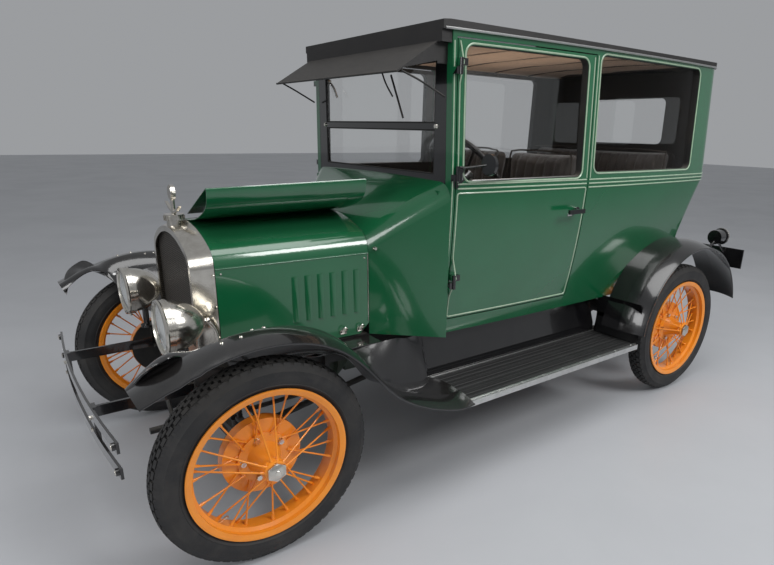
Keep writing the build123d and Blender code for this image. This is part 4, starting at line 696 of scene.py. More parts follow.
def wheel_patches(side, station, height, camber):
    """Nickel cap and lug nuts on an orange wheel."""
    inverse = hub_matrix(side, station, height, camber).inverted()
    turns = [2 * pi * lug / LUG_COUNT for lug in range(LUG_COUNT)]
    lugs = [Vector((LUG_RADIUS * cos(turn), LUG_RADIUS * sin(turn))) for turn in turns]

    def cap(point, normal):
        local = inverse @ point
        return local.z > 0.0835 and local.xy.length < 0.0305

    def nut(point, normal):
        local = inverse @ point
        return -0.0195 < local.z < -0.001 and min((local.xy - lug).length for lug in lugs) < 0.0108

    return [("nickel", cap), ("nickel", nut)]


def mirror_face(point, normal):
    return (point - MIRROR_PLACE).length < 0.05 and normal.x < -0.5 and point.y > 0.655


# The cowl's front face under the hood is coated black as painted shade
def cowl_front_painted_shade(point, normal):
    return normal.x > 0.95 and point.z < 1.1 and point.x > 0.67


def plug_face(point, normal):
    return point.z > 0.858 and abs(point.y - 0.015) < 0.012


def dynamo_face(point, normal):
    return point.y > 0.128 and 0.58 < point.z < 0.70


def hose_face(point, normal):
    return point.x > 1.187 and point.z > 0.853 and abs(point.y) < 0.03


def lamp_glass_face(point, normal):
    return normal.x > 0.8 and point.x > LAMP_X + 0.035


def lamp_post_face(point, normal):
    return point.z < LAMP_Z - LAMP_RADIUS + 0.002


# Carried-over nodes of one coat
PLAIN_NODES = {
    "satin_black": (
        "frame", "front_axle", "springs", "knuckle_left", "knuckle_right", "tie_rod", "pitman_arm",
        "drag_link", "rear_axle",
    ),
    "gloss_black": (
        "steering_column", "windshield_frame", "front_fenders", "rear_fenders", "front_bumper",
    ),
    "body_green": ("hood_left_top", "hood_left_side", "hood_right_top", "hood_right_side"),
    "window_glass": ("door_glass_left", "door_glass_right", "body_glass"),
    "hard_rubber": ("steering_wheel",),
    "exhaust_rust": ("exhaust",),
    "steel_grey": ("fan",),
    "nickel": ("radiator_shell",),
    "core_cells": ("radiator_core",),
    "roof_cloth": ("roof",),
}
# Carried-over nodes with patches: coat, then coat and test of each patch
PATCHED_NODES = {
    "engine": (
        "engine_iron",
        (("porcelain", plug_face), ("gloss_black", dynamo_face), ("hose_rubber", hose_face)),
    ),
    # The cowl's front face gets black paint as painted shade
    "cowl": ("body_green", (("gloss_black", cowl_front_painted_shade),)),
    "body_left": ("body_green", body_patches(1)),
    "body_right": ("body_green", body_patches(-1)),
    "body_rear": ("body_green", (("door_lining", inside),)),
    "door_left": ("body_green", door_patches(1)),
    "door_right": ("body_green", door_patches(-1)),
    "floor": ("satin_black", (("floor_mat", lambda point, normal: normal.z > 0.9 and point.z < 0.63),)),
    "running_boards": (
        "gloss_black",
        (
            ("board_mat", lambda point, normal: normal.z > 0.9 and point.z < 0.395 and abs(point.y) < 0.799),
            ("aluminium", lambda point, normal: abs(point.y) > 0.7985),
        ),
    ),
    "headlamps": ("nickel", (("gloss_black", lamp_post_face), ("lamp_lens", lamp_glass_face))),
    "tail_lamp": (
        "gloss_black",
        (
            ("red_lens", lambda point, normal: normal.x < -0.9 and point.z > 0.82 and point.x < -1.70),
            ("plate_white", lambda point, normal: normal.x < -0.9 and point.z < 0.8),
        ),
    ),
}


class CAR_OT_paint_solids(bpy.types.Operator):
    """Gives the carried-over solids their paint, metal, glass and lining"""

    bl_idname = "car.paint_solids"
    bl_label = "Paint solids"

    def execute(self, context):
        make_coats()
        for base, nodes in PLAIN_NODES.items():
            for node in nodes:
                paint(node, base)
        for node, (base, patches) in PATCHED_NODES.items():
            paint(node, base, patches)
        for corner, side, station, height, camber in WHEELS:
            paint(f"wheel_{corner}", "wheel_orange", wheel_patches(side, station, height, camber))
        return {"FINISHED"}


# Tyres


class CAR_OT_build_tyres(bpy.types.Operator):
    """Builds the treaded tyres"""

    bl_idname = "car.build_tyres"
    bl_label = "Tyres"

    def execute(self, context):
        settings = context.scene.car_tyres
        base = settings.tread_top - settings.groove
        # Half section from the bead to the middle of the tread: radius and distance from the middle
        half = (
            (0.2686, 0.0385), (0.2870, 0.0415), (0.2930, 0.0455), (0.2950, 0.0500), (0.3000, 0.0528),
            (0.3020, 0.0515), (0.3150, 0.0558), (0.3300, 0.0562), (0.3420, 0.0545), (0.3440, 0.0552),
            (0.3470, 0.0545), (0.3500, 0.0505), (0.3580, 0.0460), (base - 0.003, 0.0380), (base, 0.0290),
            (base, 0.0195), (base - 0.004, 0.0180), (base - 0.004, 0.0155), (base, 0.0140),
            (base + 0.001, 0.0),
        )
        profile = [(radius, -width) for radius, width in half[:-1]]
        profile += [(radius, width) for radius, width in reversed(half)]
        # Block rows: distance from the middle, width, length round the tyre, shift in pitches, radius, lean
        rows = (
            (0.0070, 0.0120, 0.0270, 0.0, settings.tread_top, 0),
            (-0.0070, 0.0120, 0.0270, 0.5, settings.tread_top, 0),
            (0.0240, 0.0140, 0.0265, 0.5, settings.tread_top - 0.0025, -14),
            (-0.0240, 0.0140, 0.0265, 0.0, settings.tread_top - 0.0025, 14),
            (0.0405, 0.0250, 0.0255, 0.0, 0.3625, -60),
            (-0.0405, 0.0250, 0.0255, 0.5, 0.3625, 60),
        )
        for corner, side, station, height, camber in WHEELS:
            bm = bmesh.new()
            add_spun(bm, profile, UNTURNED, steps=96)
            for offset, width, length, shift, top, lean in rows:
                for block in range(settings.blocks):
                    turn = Matrix.Rotation(2 * pi * (block + shift) / settings.blocks, 4, "Z")
                    place = Matrix.Translation((top - settings.groove / 2, 0, offset))
                    slope = Matrix.Rotation(radians(lean), 4, "Y")
                    size = Matrix.Diagonal((settings.groove, length, width, 1))
                    bmesh.ops.create_cube(bm, size=1, matrix=turn @ place @ slope @ size)
            bmesh.ops.transform(bm, matrix=hub_matrix(side, station, height, camber), verts=bm.verts)
            body = f"wheel_{corner}_body"
            piece(f"tread_{corner}", bm, "tyre_rubber", body, (f"tyre_{corner}",), 40)
        return {"FINISHED"}


# Spoke rows: count, radius and height at the hub, height at the rim, lean in degrees, stagger
SPOKE_ROWS = ((10, 0.034, 0.074, -0.012, 9, 0.0), (20, 0.086, -0.020, 0.010, 16, 0.009))
RIM_WELL = 0.256
COLLAR_PROFILE = ((0.036, 0.060), (0.0400, 0.060), (0.0405, 0.066), (0.0385, 0.070), (0.036, 0.070))
CAP_TIP_PROFILE = ((0.0, 0.1016), (0.010, 0.1012), (0.0115, 0.1000), (0.0, 0.0998))


class CAR_OT_build_wheel_fittings(bpy.types.Operator):
    """Adds spoke nipples, valve stems and hub rings"""

    bl_idname = "car.build_wheel_fittings"
    bl_label = "Wheel fittings"

    def execute(self, context):
        for corner, side, station, height, camber in WHEELS:
            place = hub_matrix(side, station, height, camber)
            bm = bmesh.new()
            for count, hub_radius, hub_height, rim_height, lean, stagger in SPOKE_ROWS:
                for spoke in range(count):
                    turn = radians(360 / count * spoke)
                    tip_turn = turn + radians(lean * (1 if spoke % 2 else -1))
                    step = stagger * (spoke % 2)
                    foot = Vector((hub_radius * cos(turn), hub_radius * sin(turn), hub_height - step))
                    reach = RIM_WELL - 0.005
                    tip = Vector((reach * cos(tip_turn), reach * sin(tip_turn), rim_height - step))
                    run = (tip - foot).normalized()
                    add_rod(bm, tip - run * 0.020, tip, 0.0050, 10, 0.0062)
                    add_stub(bm, foot, run * 0.016, 0.0054, 10, 0.0042)
            add_spun(bm, COLLAR_PROFILE, UNTURNED)
            bmesh.ops.transform(bm, matrix=place, verts=bm.verts)
            piece(f"nipples_{corner}", bm, "wheel_orange", f"wheel_{corner}_body")
            bm = bmesh.new()
            add_rod(bm, (0.1785, 0.178, 0.012), (0.158, 0.1575, 0.024), 0.0042, 12)
            add_rod(bm, (0.161, 0.1605, 0.0222), (0.153, 0.1525, 0.027), 0.0055, 12, 0.0045)
            add_spun(bm, CAP_TIP_PROFILE, UNTURNED, 24)
            add_rod(bm, (0, 0, 0.0845), (0, 0, 0.0925), 0.0355, 6)
            bmesh.ops.transform(bm, matrix=place, verts=bm.verts)
            piece(f"valve_{corner}", bm, "nickel", f"wheel_{corner}_body")
        return {"FINISHED"}


# Body trim


class CAR_OT_build_body_trim(bpy.types.Operator):
    """Adds beads, window mouldings, the drip rail and the hinge and handle details"""

    bl_idname = "car.build_body_trim"
    bl_label = "Body trim"

    def execute(self, context):
        settings = context.scene.car_trim
        tree = skin("body_left", "body_right", "body_rear", "door_left", "door_right", "roof")
        belt_heights = (BELT_Z + 0.004, BELT_Z + 0.022)
        panel_top = BELT_Z - 0.014
        margin = 0.009
        low, high = DOOR_REAR_X + margin, DOOR_FRONT_X - margin

        def bead(bm, places, radius=settings.bead, closed=False):
            add_tube(bm, side_line(tree, places, side), radius, 6, closed)

        def post(bm, x, bottom, top, count):
            bead(bm, [(x, z) for z in spaced(bottom, top, count)], settings.bead * 0.8)

        def window_bead(bm, x_low, x_high, z_low, z_high):
            grow = 0.006
            edges = (x_low - grow, x_high + grow, z_low - grow, z_high + grow)
            bead(bm, rounded_outline(*edges, WINDOW_CORNER + grow), settings.window_bead, closed=True)

        body = bmesh.new()
        for side, name in SIDES:
            door = bmesh.new()
            outline = rounded_outline(low, high, DOOR_BOTTOM_Z + margin, panel_top, 0.010, 3)
            bead(door, outline, closed=True)
            for height in belt_heights:
                bead(door, [(x, height) for x in spaced(low, high, 12)])
            for station in (low, high):
                post(door, station, BELT_Z + 0.03, DOOR_TOP_Z - margin, 8)
            window_bead(door, *DOOR_WINDOW)
            piece(f"door_beads_{name}", door, "bead_green", f"{name}_door")
            bright = bmesh.new()
            rear_x, front_x, sill_z, _ = DOOR_WINDOW
            sill = ((rear_x + front_x) / 2, side * 0.604, sill_z + 0.003)
            add_block(bright, sill, (front_x - rear_x - 0.03, 0.018, 0.004))
            for height in HINGE_HEIGHTS:
                foot = laid(tree, (DOOR_FRONT_X - 0.032, side * 1.3, height), (0, -side, 0))
                add_block(bright, foot, (0.003, 0.004, 0.052))
            plate = laid(tree, (HANDLE_X + 0.024, side * 1.3, HANDLE_Z - 0.022), (0, -side, 0))
            add_block(bright, plate, (0.030, 0.004, 0.012))
            piece(f"door_strips_{name}", bright, "aluminium", f"{name}_door")
            window_bead(body, *QUARTER_WINDOW)
            post(body, WINDSHIELD_X - 0.008, 0.62, 1.79, 16)
            post(body, DOOR_REAR_X - 0.016, BELT_Z + 0.03, DOOR_TOP_Z, 8)
        for height in (panel_top, *belt_heights):
            add_tube(body, self.round_tail(tree, height, DOOR_REAR_X - 0.010), settings.bead, 6)
        piece("body_beads", body, "bead_green", ROOT)
        rail = bmesh.new()
        add_tube(rail, self.round_tail(skin("roof"), 1.8285, 0.470), settings.drip_rail, 6)
        piece("drip_rail", rail, "aluminium", ROOT)
        return {"FINISHED"}

    def round_tail(self, tree, height, front_x):
        """A line along the left side, round the tail and back along the right side."""
        corner_x = -1.43
        corner_y = 0.52
        line = []
        for x in spaced(front_x, corner_x, 24):
            line.append(laid(tree, (x, 1.3, height), (0, -1, 0)))
        for angle in spaced(100, 170, 7):
            direction = Vector((cos(radians(angle)), sin(radians(angle)), 0))
            line.append(laid(tree, Vector((corner_x, corner_y, height)) + direction, -direction))
        for y in spaced(corner_y, 0, 8):
            line.append(laid(tree, (-3, y, height), (1, 0, 0)))
        line = [point for point in line if point is not None]
        far = [Vector((point.x, -point.y, point.z)) for point in reversed(line[:-1])]
        return line + far


# Cabin

DOOR_INNER_Y = 0.588
# Stubs inside a door: x, depth inside the lining and z; reach, radius, sides, end radius
DOOR_STUBS = (
    ((0.03, 0.0, 1.06), 0.022, 0.016, 20, None),
    ((0.125, 0.026, 0.995), 0.036, 0.009, 16, 0.012),
    ((-0.26, 0.0, HANDLE_Z), 0.020, 0.012, 16, None),
)
# Tubes inside a door, the winder's arm, the lever and the pull: places as above, radius
DOOR_TUBES = (
    (((0.03, 0.018, 1.06), (0.075, 0.028, 1.03), (0.125, 0.030, 0.995)), 0.0055),
    (((-0.26, 0.018, HANDLE_Z), (-0.21, 0.026, HANDLE_Z), (-0.17, 0.022, 1.112)), 0.006),
    (((0.20, 0.004, 1.185), (0.08, 0.020, 1.172), (-0.04, 0.004, 1.185)), 0.005),
)


class CAR_OT_build_cabin(bpy.types.Operator):
    """Adds the headlining, instrument panel, window winders and door pulls"""

    bl_idname = "car.build_cabin"
    bl_label = "Cabin"

    def execute(self, context):
        self.hang_lining()
        self.add_dials()
        for side, name in SIDES:
            bm = bmesh.new()
            for (x, depth, z), reach, radius, sides, end_radius in DOOR_STUBS:
                start = (x, side * (DOOR_INNER_Y - depth), z)
                add_stub(bm, start, (0, -side * reach, 0), radius, sides, end_radius)
            for places, radius in DOOR_TUBES:
                line = [(x, side * (DOOR_INNER_Y - depth), z) for x, depth, z in places]
                add_tube(bm, smooth_path(line), radius, 8)
            piece(f"door_hardware_{name}", bm, "nickel", f"{name}_door")
        return {"FINISHED"}

    def hang_lining(self):
        """The headlining sags between its bows."""
        lining = bmesh.new()
        bow_pitch = 0.31
        first_bow_x = 0.40
        edge_drop = 0.018
        grid = []
        for x in spaced(-1.46, DOOR_FRONT_X, 84):
            half = 0.556 - 0.05 * max(0.0, (-1.30 - x) / 0.16) ** 2
            row = []
            for share in spaced(-1, 1, 31):
                between = abs(sin(pi * (x - first_bow_x) / bow_pitch))
                sag = 0.010 * between**0.7 * (1 - share * share)
                ripple = 0.0015 * sin(23 * x + 9 * share) * (1 - share**4)
                height = 1.842 - edge_drop * share**4 - sag + ripple
                row.append(lining.verts.new((x, half * share, height)))
            grid.append(row)
        fill_grid(lining, grid)
        bmesh.ops.solidify(lining, geom=list(lining.faces), thickness=0.0015)
        piece("headlining", lining, "headlining", ROOT, crease=60)
        seams = bmesh.new()
        for bow in range(1, 6):
            x = first_bow_x - bow * bow_pitch
            seam = [(x, 0.55 * share, 1.8402 - edge_drop * share**4) for share in spaced(-0.98, 0.98, 15)]
            add_tube(seams, seam, 0.0035, 6)
        piece("headlining_bows", seams, "welt_cord", ROOT)

    def add_dials(self):
        """Three dials on a nickel plate."""
        panel = bmesh.new()
        panel_x, panel_z = 0.4515, 1.165
        add_block(panel, (panel_x, 0, panel_z), (0.004, 0.30, 0.090))
        piece("instrument_plate", panel, "nickel", ROOT)
        dials = bmesh.new()
        rims = bmesh.new()
        for y, radius in ((0.085, 0.032), (0.0, 0.037), (-0.085, 0.032)):
            turn = Matrix.Translation((panel_x - 0.002, y, panel_z)) @ Matrix.Rotation(radians(-90), 4, "Y")
            add_spun(dials, ((0.0, 0.0022), (radius, 0.0018), (radius, 0.0), (0.0, 0.0)), turn, 32)
            rim = ((radius, 0.0), (radius + 0.004, 0.0), (radius + 0.004, 0.004), (radius, 0.006))
            add_spun(rims, rim, turn, 32)
            middle = Vector((panel_x - 0.0045, y, panel_z))
            for mark in range(9):
                angle = radians(-120 + 30 * mark)
                place = middle + Vector((0, sin(angle), cos(angle))) * 0.76 * radius
                add_block(rims, place, (0.0008, 0.0012, 0.006), Matrix.Rotation(-angle, 4, "X"))
            hand = middle + Vector((-0.0003, 0, 0))
            add_stub(rims, hand, (0, -0.4 * radius, 0.5 * radius), 0.0008, 6)
        piece("dial_faces", dials, "dial_face", ROOT)
        piece("dial_rims", rims, "nickel", ROOT)


# Seats

# Pads: name, x of the lower front and rear, x of the upper front and rear, low and high z, middle y,
# half width, face with the channels. A pad off the middle has a twin on the other side.
PADS = (
    ("front_cushion", (0.0, -0.345), (0.0, -0.352), 0.798, 0.944, 0.262, 0.229, "top"),
    ("front_back", (-0.348, -0.458), (-0.418, -0.532), 0.800, 1.385, 0.262, 0.229, "front"),
    ("rear_cushion", (-0.805, -1.145), (-0.805, -1.152), 0.798, 0.944, 0.0, 0.512, "top"),
    ("rear_back", (-1.148, -1.258), (-1.218, -1.332), 0.800, 1.392, 0.0, 0.512, "front"),
)


class CAR_OT_build_seats(bpy.types.Operator):
    """Builds the padded seats by cloth simulation, with sewn channels and welts"""

    bl_idname = "car.build_seats"
    bl_label = "Seats"

    def execute(self, context):
        settings = context.scene.car_seats
        for name, low_x, high_x, low_z, high_z, middle, half, face in PADS:
            obj = self.start_shape(name, low_x, high_x, low_z, high_z, middle, half)
            self.inflate(context, obj, settings)
            self.subdivide(obj)
            self.sew(obj, settings, middle, face)
            nodes = ("front_seats",) if name.startswith("front") else ("rear_seat",)
            self.dress(obj, nodes)
            if middle:
                twin = obj.copy()
                twin.data = obj.data.copy()
                twin.name = f"{name}_right"
                for vert in twin.data.vertices:
                    vert.co.y = -vert.co.y
                twin.data.flip_normals()
                context.scene.collection.objects.link(twin)
                self.dress(twin, nodes)
        self.add_welts()
        return {"FINISHED"}

    def start_shape(self, name, low_x, high_x, low_z, high_z, middle, half):
        """A rounded block slightly smaller than the space of the pad."""
        shrink = 0.008
        bm = bmesh.new()
        corners = bmesh.ops.create_cube(bm, size=1)["verts"]
        for vert in corners:
            front, rear = high_x if vert.co.z > 0 else low_x
            x = front - shrink if vert.co.x > 0 else rear + shrink
            y = middle + (half - shrink) * (1 if vert.co.y > 0 else -1)
            z = high_z - shrink if vert.co.z > 0 else low_z + 0.001
            vert.co = (x, y, z)
        bmesh.ops.bevel(
            bm, geom=list(bm.edges), offset=0.030, segments=4, profile=0.5, affect="EDGES", material=-1
        )
        bmesh.ops.recalc_face_normals(bm, faces=bm.faces)
        mesh = bpy.data.meshes.new(name)
        bm.to_mesh(mesh)
        bm.free()
        obj = bpy.data.objects.new(name, mesh)
        bpy.context.scene.collection.objects.link(obj)
        bpy.context.view_layer.objects.active = obj
        remesh = obj.modifiers.new("Remesh", "REMESH")
        remesh.mode = "VOXEL"
        remesh.voxel_size = bpy.context.scene.car_seats.voxel
        bpy.ops.object.modifier_apply(modifier=remesh.name)
        return obj

    def inflate(self, context, obj, settings):
        """Swells the pad with the cloth solver and keeps each point near its start."""
        cloth = obj.modifiers.new("Cloth", "CLOTH")
        cloth.settings.use_pressure = True
        cloth.settings.uniform_pressure_force = settings.pressure
        cloth.settings.effector_weights.gravity = 0
        cloth.settings.quality = 3
        for number in range(1, 21):
            context.scene.frame_set(number)
        solved = obj.evaluated_get(context.evaluated_depsgraph_get()).to_mesh()
        moved = [vert.co.copy() for vert in solved.vertices]
        obj.modifiers.remove(cloth)
        context.scene.frame_set(1)
        if len(moved) != len(obj.data.vertices):
            raise RuntimeError(f"The cloth of {obj.name} lost its points")
        for vert, goal in zip(obj.data.vertices, moved):
            step = goal - vert.co
            if step.length > settings.cap:
                step *= settings.cap / step.length
            vert.co += step

    def subdivide(self, obj):
        """Rounds the settled pad once."""
        smooth = obj.modifiers.new("Subdivision", "SUBSURF")
        smooth.levels = 1
        smooth.render_levels = 1
        bpy.context.view_layer.objects.active = obj
        bpy.ops.object.modifier_apply(modifier=smooth.name)

    def sew(self, obj, settings, middle, face):
        """Presses the seams of the channels into the sitting face."""
        for vert in obj.data.vertices:
            normal = vert.normal
            facing = normal.z if face == "top" else normal.x
            if facing < 0.5:
                continue
            phase = (vert.co.y - middle) / settings.pleat
            seam = 1 - abs(sin(pi * phase))
            vert.co -= normal * settings.pleat_depth * seam**3 * min(1, (facing - 0.5) * 4)

    def dress(self, obj, nodes):
        """Cloth, smooth shading, the body a pad rides on and the nodes it replaces."""
        obj.data.materials.clear()
        obj.data.materials.append(coats["seat_cloth"])
        obj.data.polygons.foreach_set("use_smooth", [True] * len(obj.data.polygons))
        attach(obj, ROOT)
        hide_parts(*nodes)

    def add_welts(self):
        """Corded welts round the front edges of cushions and backs."""
        bm = bmesh.new()
        corner = 0.05
        for _, low_x, high_x, low_z, high_z, middle, half, face in PADS:
            for sign in (1, -1) if middle else (1,):
                y = sign * middle
                left, right = y + half - 0.012, y - half + 0.012
                if face == "top":
                    x, z = high_x[0] - 0.010, high_z - 0.020
                    rear_x = high_x[1] + 0.03
                    line = [(rear_x, left, z), (x - corner, left, z), (x, left - corner, z - 0.001)]
                    line += [(x + 0.003, y, z)]
                    line += [(x, right + corner, z - 0.001), (x - corner, right, z), (rear_x, right, z)]
                else:
                    lean = (high_x[0] - low_x[0]) / (high_z - low_z)
                    top = high_z - 0.016
                    x = high_x[0] - 0.006
                    foot_z = 0.98
                    foot_x = x - (top - foot_z) * lean
                    bend_x, bend_z = x + lean * corner, top - corner
                    line = [(foot_x, left, foot_z), (bend_x, left, bend_z), (x, left - corner, top)]
                    line += [(x, y, top + 0.003)]
                    line += [(x, right + corner, top), (bend_x, right, bend_z), (foot_x, right, foot_z)]
                add_tube(bm, smooth_path(line), 0.005, 8)
        piece("seat_welts", bm, "welt_cord", ROOT)


# Lamps

# Profiles: radius and height over the lamp's face
LAMP_RIM = ((0.090, 0.0), (0.1005, 0.0), (0.1035, 0.005), (0.1010, 0.011), (0.0945, 0.013), (0.0895, 0.008))
LAMP_BAND = ((0.0985, -0.022), (0.1015, -0.022), (0.1015, -0.016), (0.0985, -0.016))
TAIL_LAMP_RIM = ((0.036, -0.002), (0.0505, -0.004), (0.052, 0.001), (0.0475, 0.0045), (0.037, 0.003))
# The lamp's conduit: distance behind the lamp, outside its middle and below it
CONDUIT = (
    (0.100, 0.0, 0.004),
    (0.124, 0.004, 0.008),
    (0.144, 0.010, 0.045),
    (0.145, 0.018, 0.100),
    (0.142, 0.020, 0.135),
    (0.142, 0.012, 0.175),
)


class CAR_OT_build_lamps(bpy.types.Operator):
    """Adds lamp rims, conduits and the tail lamp's rim"""

    bl_idname = "car.build_lamps"
    bl_label = "Lamps"

    def execute(self, context):
        bm = bmesh.new()
        for side, _ in SIDES:
            face = Matrix.Translation((LAMP_X + 0.038, side * LAMP_Y, LAMP_Z))
            turn = face @ Matrix.Rotation(radians(90), 4, "Y")
            add_spun(bm, LAMP_RIM, turn, 64)
            add_spun(bm, LAMP_BAND, turn, 64)
            add_stub(bm, (LAMP_X + 0.030, side * LAMP_Y, LAMP_Z - LAMP_RADIUS), (0, 0, -0.012), 0.007, 12)
            conduit = [(LAMP_X - back, side * (LAMP_Y + out), LAMP_Z - drop) for back, out, drop in CONDUIT]
            add_tube(bm, smooth_path(conduit, 8), 0.0075, 12)
            for back in (0.143, 0.155):
                nut = ((0.0, -back - 0.008), (0.012, -back - 0.008), (0.012, -back), (0.0, -back))
                add_spun(bm, nut, turn, 20)
        turn = Matrix.Translation(TAIL_LAMP) @ Matrix.Rotation(radians(-90), 4, "Y")
        add_spun(bm, TAIL_LAMP_RIM, turn, 40)
        piece("lamp_rims", bm, "nickel", ROOT)
        plate = bmesh.new()
        for y in (-0.085, 0.085):
            for z in (-0.045, 0.045):
                add_stub(plate, NUMBER_PLATE + Vector((0, y, z)), (-0.004, 0, 0), 0.006, 6)
        piece("plate_bolts", plate, "steel_grey", ROOT)
        return {"FINISHED"}


# Hood, radiator and bumper fittings

HOOD_SIDE_FRONT = Vector((1.318, 0.3081, 0))
HOOD_SIDE_REAR = Vector((0.682, 0.3419, 0))


def hood_side_point(share, z, lift):
    """A point on the left hood side's outer face."""
    point = HOOD_SIDE_FRONT.lerp(HOOD_SIDE_REAR, share)
    return Vector((point.x, point.y + 0.0025 + lift, z))


class CAR_OT_build_nose(bpy.types.Operator):
    """Adds hood latches, shell beads, the filler cap's grip and the bumper's bolts"""

    bl_idname = "car.build_nose"
    bl_label = "Nose"

    def execute(self, context):
        latches = bmesh.new()
        hook = ((-0.010, 0.004, 0.004), (-0.012, 0.014, 0.014), (0.0, 0.017, 0.024))
        hook += ((0.013, 0.012, 0.012), (0.011, 0.004, 0.002))
        for share in (0.80, 0.93):
            foot = hood_side_point(share, 0.632, 0.002)
            add_block(latches, foot, (0.030, 0.004, 0.018))
            add_tube(latches, smooth_path([foot + Vector(place) for place in hook], 5), 0.0032, 8)
        for share in (0.03, 0.97):
            add_stub(latches, hood_side_point(share, 0.945, 0.0), (0, 0.003, 0), 0.004, 10, 0.003)
        edge = [hood_side_point(0.994, z, 0.0005) for z in spaced(0.664, 0.962, 6)]
        add_tube(latches, edge, 0.0022, 6)
        piece("hood_latches", latches, "nickel", "hood_left_lower")
        knob = bmesh.new()
        foot = laid(skin("cowl"), (0.664, 1.3, 0.985), (0, -1, 0))
        add_stub(knob, foot, (0, 0.012, 0), 0.005)
        add_stub(knob, foot + Vector((0, 0.010, 0)), (0, 0.010, 0), 0.009, 20, 0.006)
        piece("cowl_knob", knob, "nickel", ROOT)

        shell = bmesh.new()
        for z in (0.70, 0.82, 0.94):
            for side, _ in SIDES:
                add_stub(shell, (1.327, side * 0.3035, z), (0, side * 0.005, 0), 0.005, 10, 0.004)
        cap = Matrix.Translation((1.358, 0, 1.118))
        ridge = Matrix.Translation((0.038, 0, 0)) @ Matrix.Diagonal((0.004, 0.005, 0.018, 1))
        for angle in range(0, 360, 18):
            turn = Matrix.Rotation(radians(angle), 4, "Z")
            bmesh.ops.create_cube(shell, size=1, matrix=cap @ turn @ ridge)
        add_stub(shell, (1.3655, 0, 1.214), (0.002, 0, 0), 0.026, 32)
        piece("shell_fittings", shell, "nickel", ROOT)

        crank = bmesh.new()
        add_stub(crank, (1.30, 0, CRANK_Z), (0.17, 0, 0), 0.010)
        arm = [(1.462, 0, CRANK_Z), (1.475, 0.004, 0.420), (1.478, 0.06, 0.360), (1.478, 0.125, 0.300)]
        add_tube(crank, smooth_path(arm), 0.009, 10)
        add_stub(crank, arm[-1], (0.097, 0, 0), 0.0135)
        piece("hand_crank", crank, "satin_black", ROOT)

        bolts = bmesh.new()
        bumper_x = FRONT_AXLE_X + 0.460
        bow, half_width, clamp_y = 0.030, 0.620, 0.305
        end_x = bumper_x - bow
        clamp_x = bumper_x - bow * (clamp_y / half_width) ** 2
        for side, _ in SIDES:
            for z in (0.522, 0.432):
                add_stub(bolts, (end_x + 0.0095, side * 0.598, z), (0.004, 0, 0), 0.012, 20, 0.008)
            for z in (0.455, 0.500):
                add_stub(bolts, (clamp_x - 0.001, side * clamp_y, z), (0.007, 0, 0), 0.008, 6)
        piece("bumper_bolts", bolts, "nickel", ROOT)
        return {"FINISHED"}


# Engine


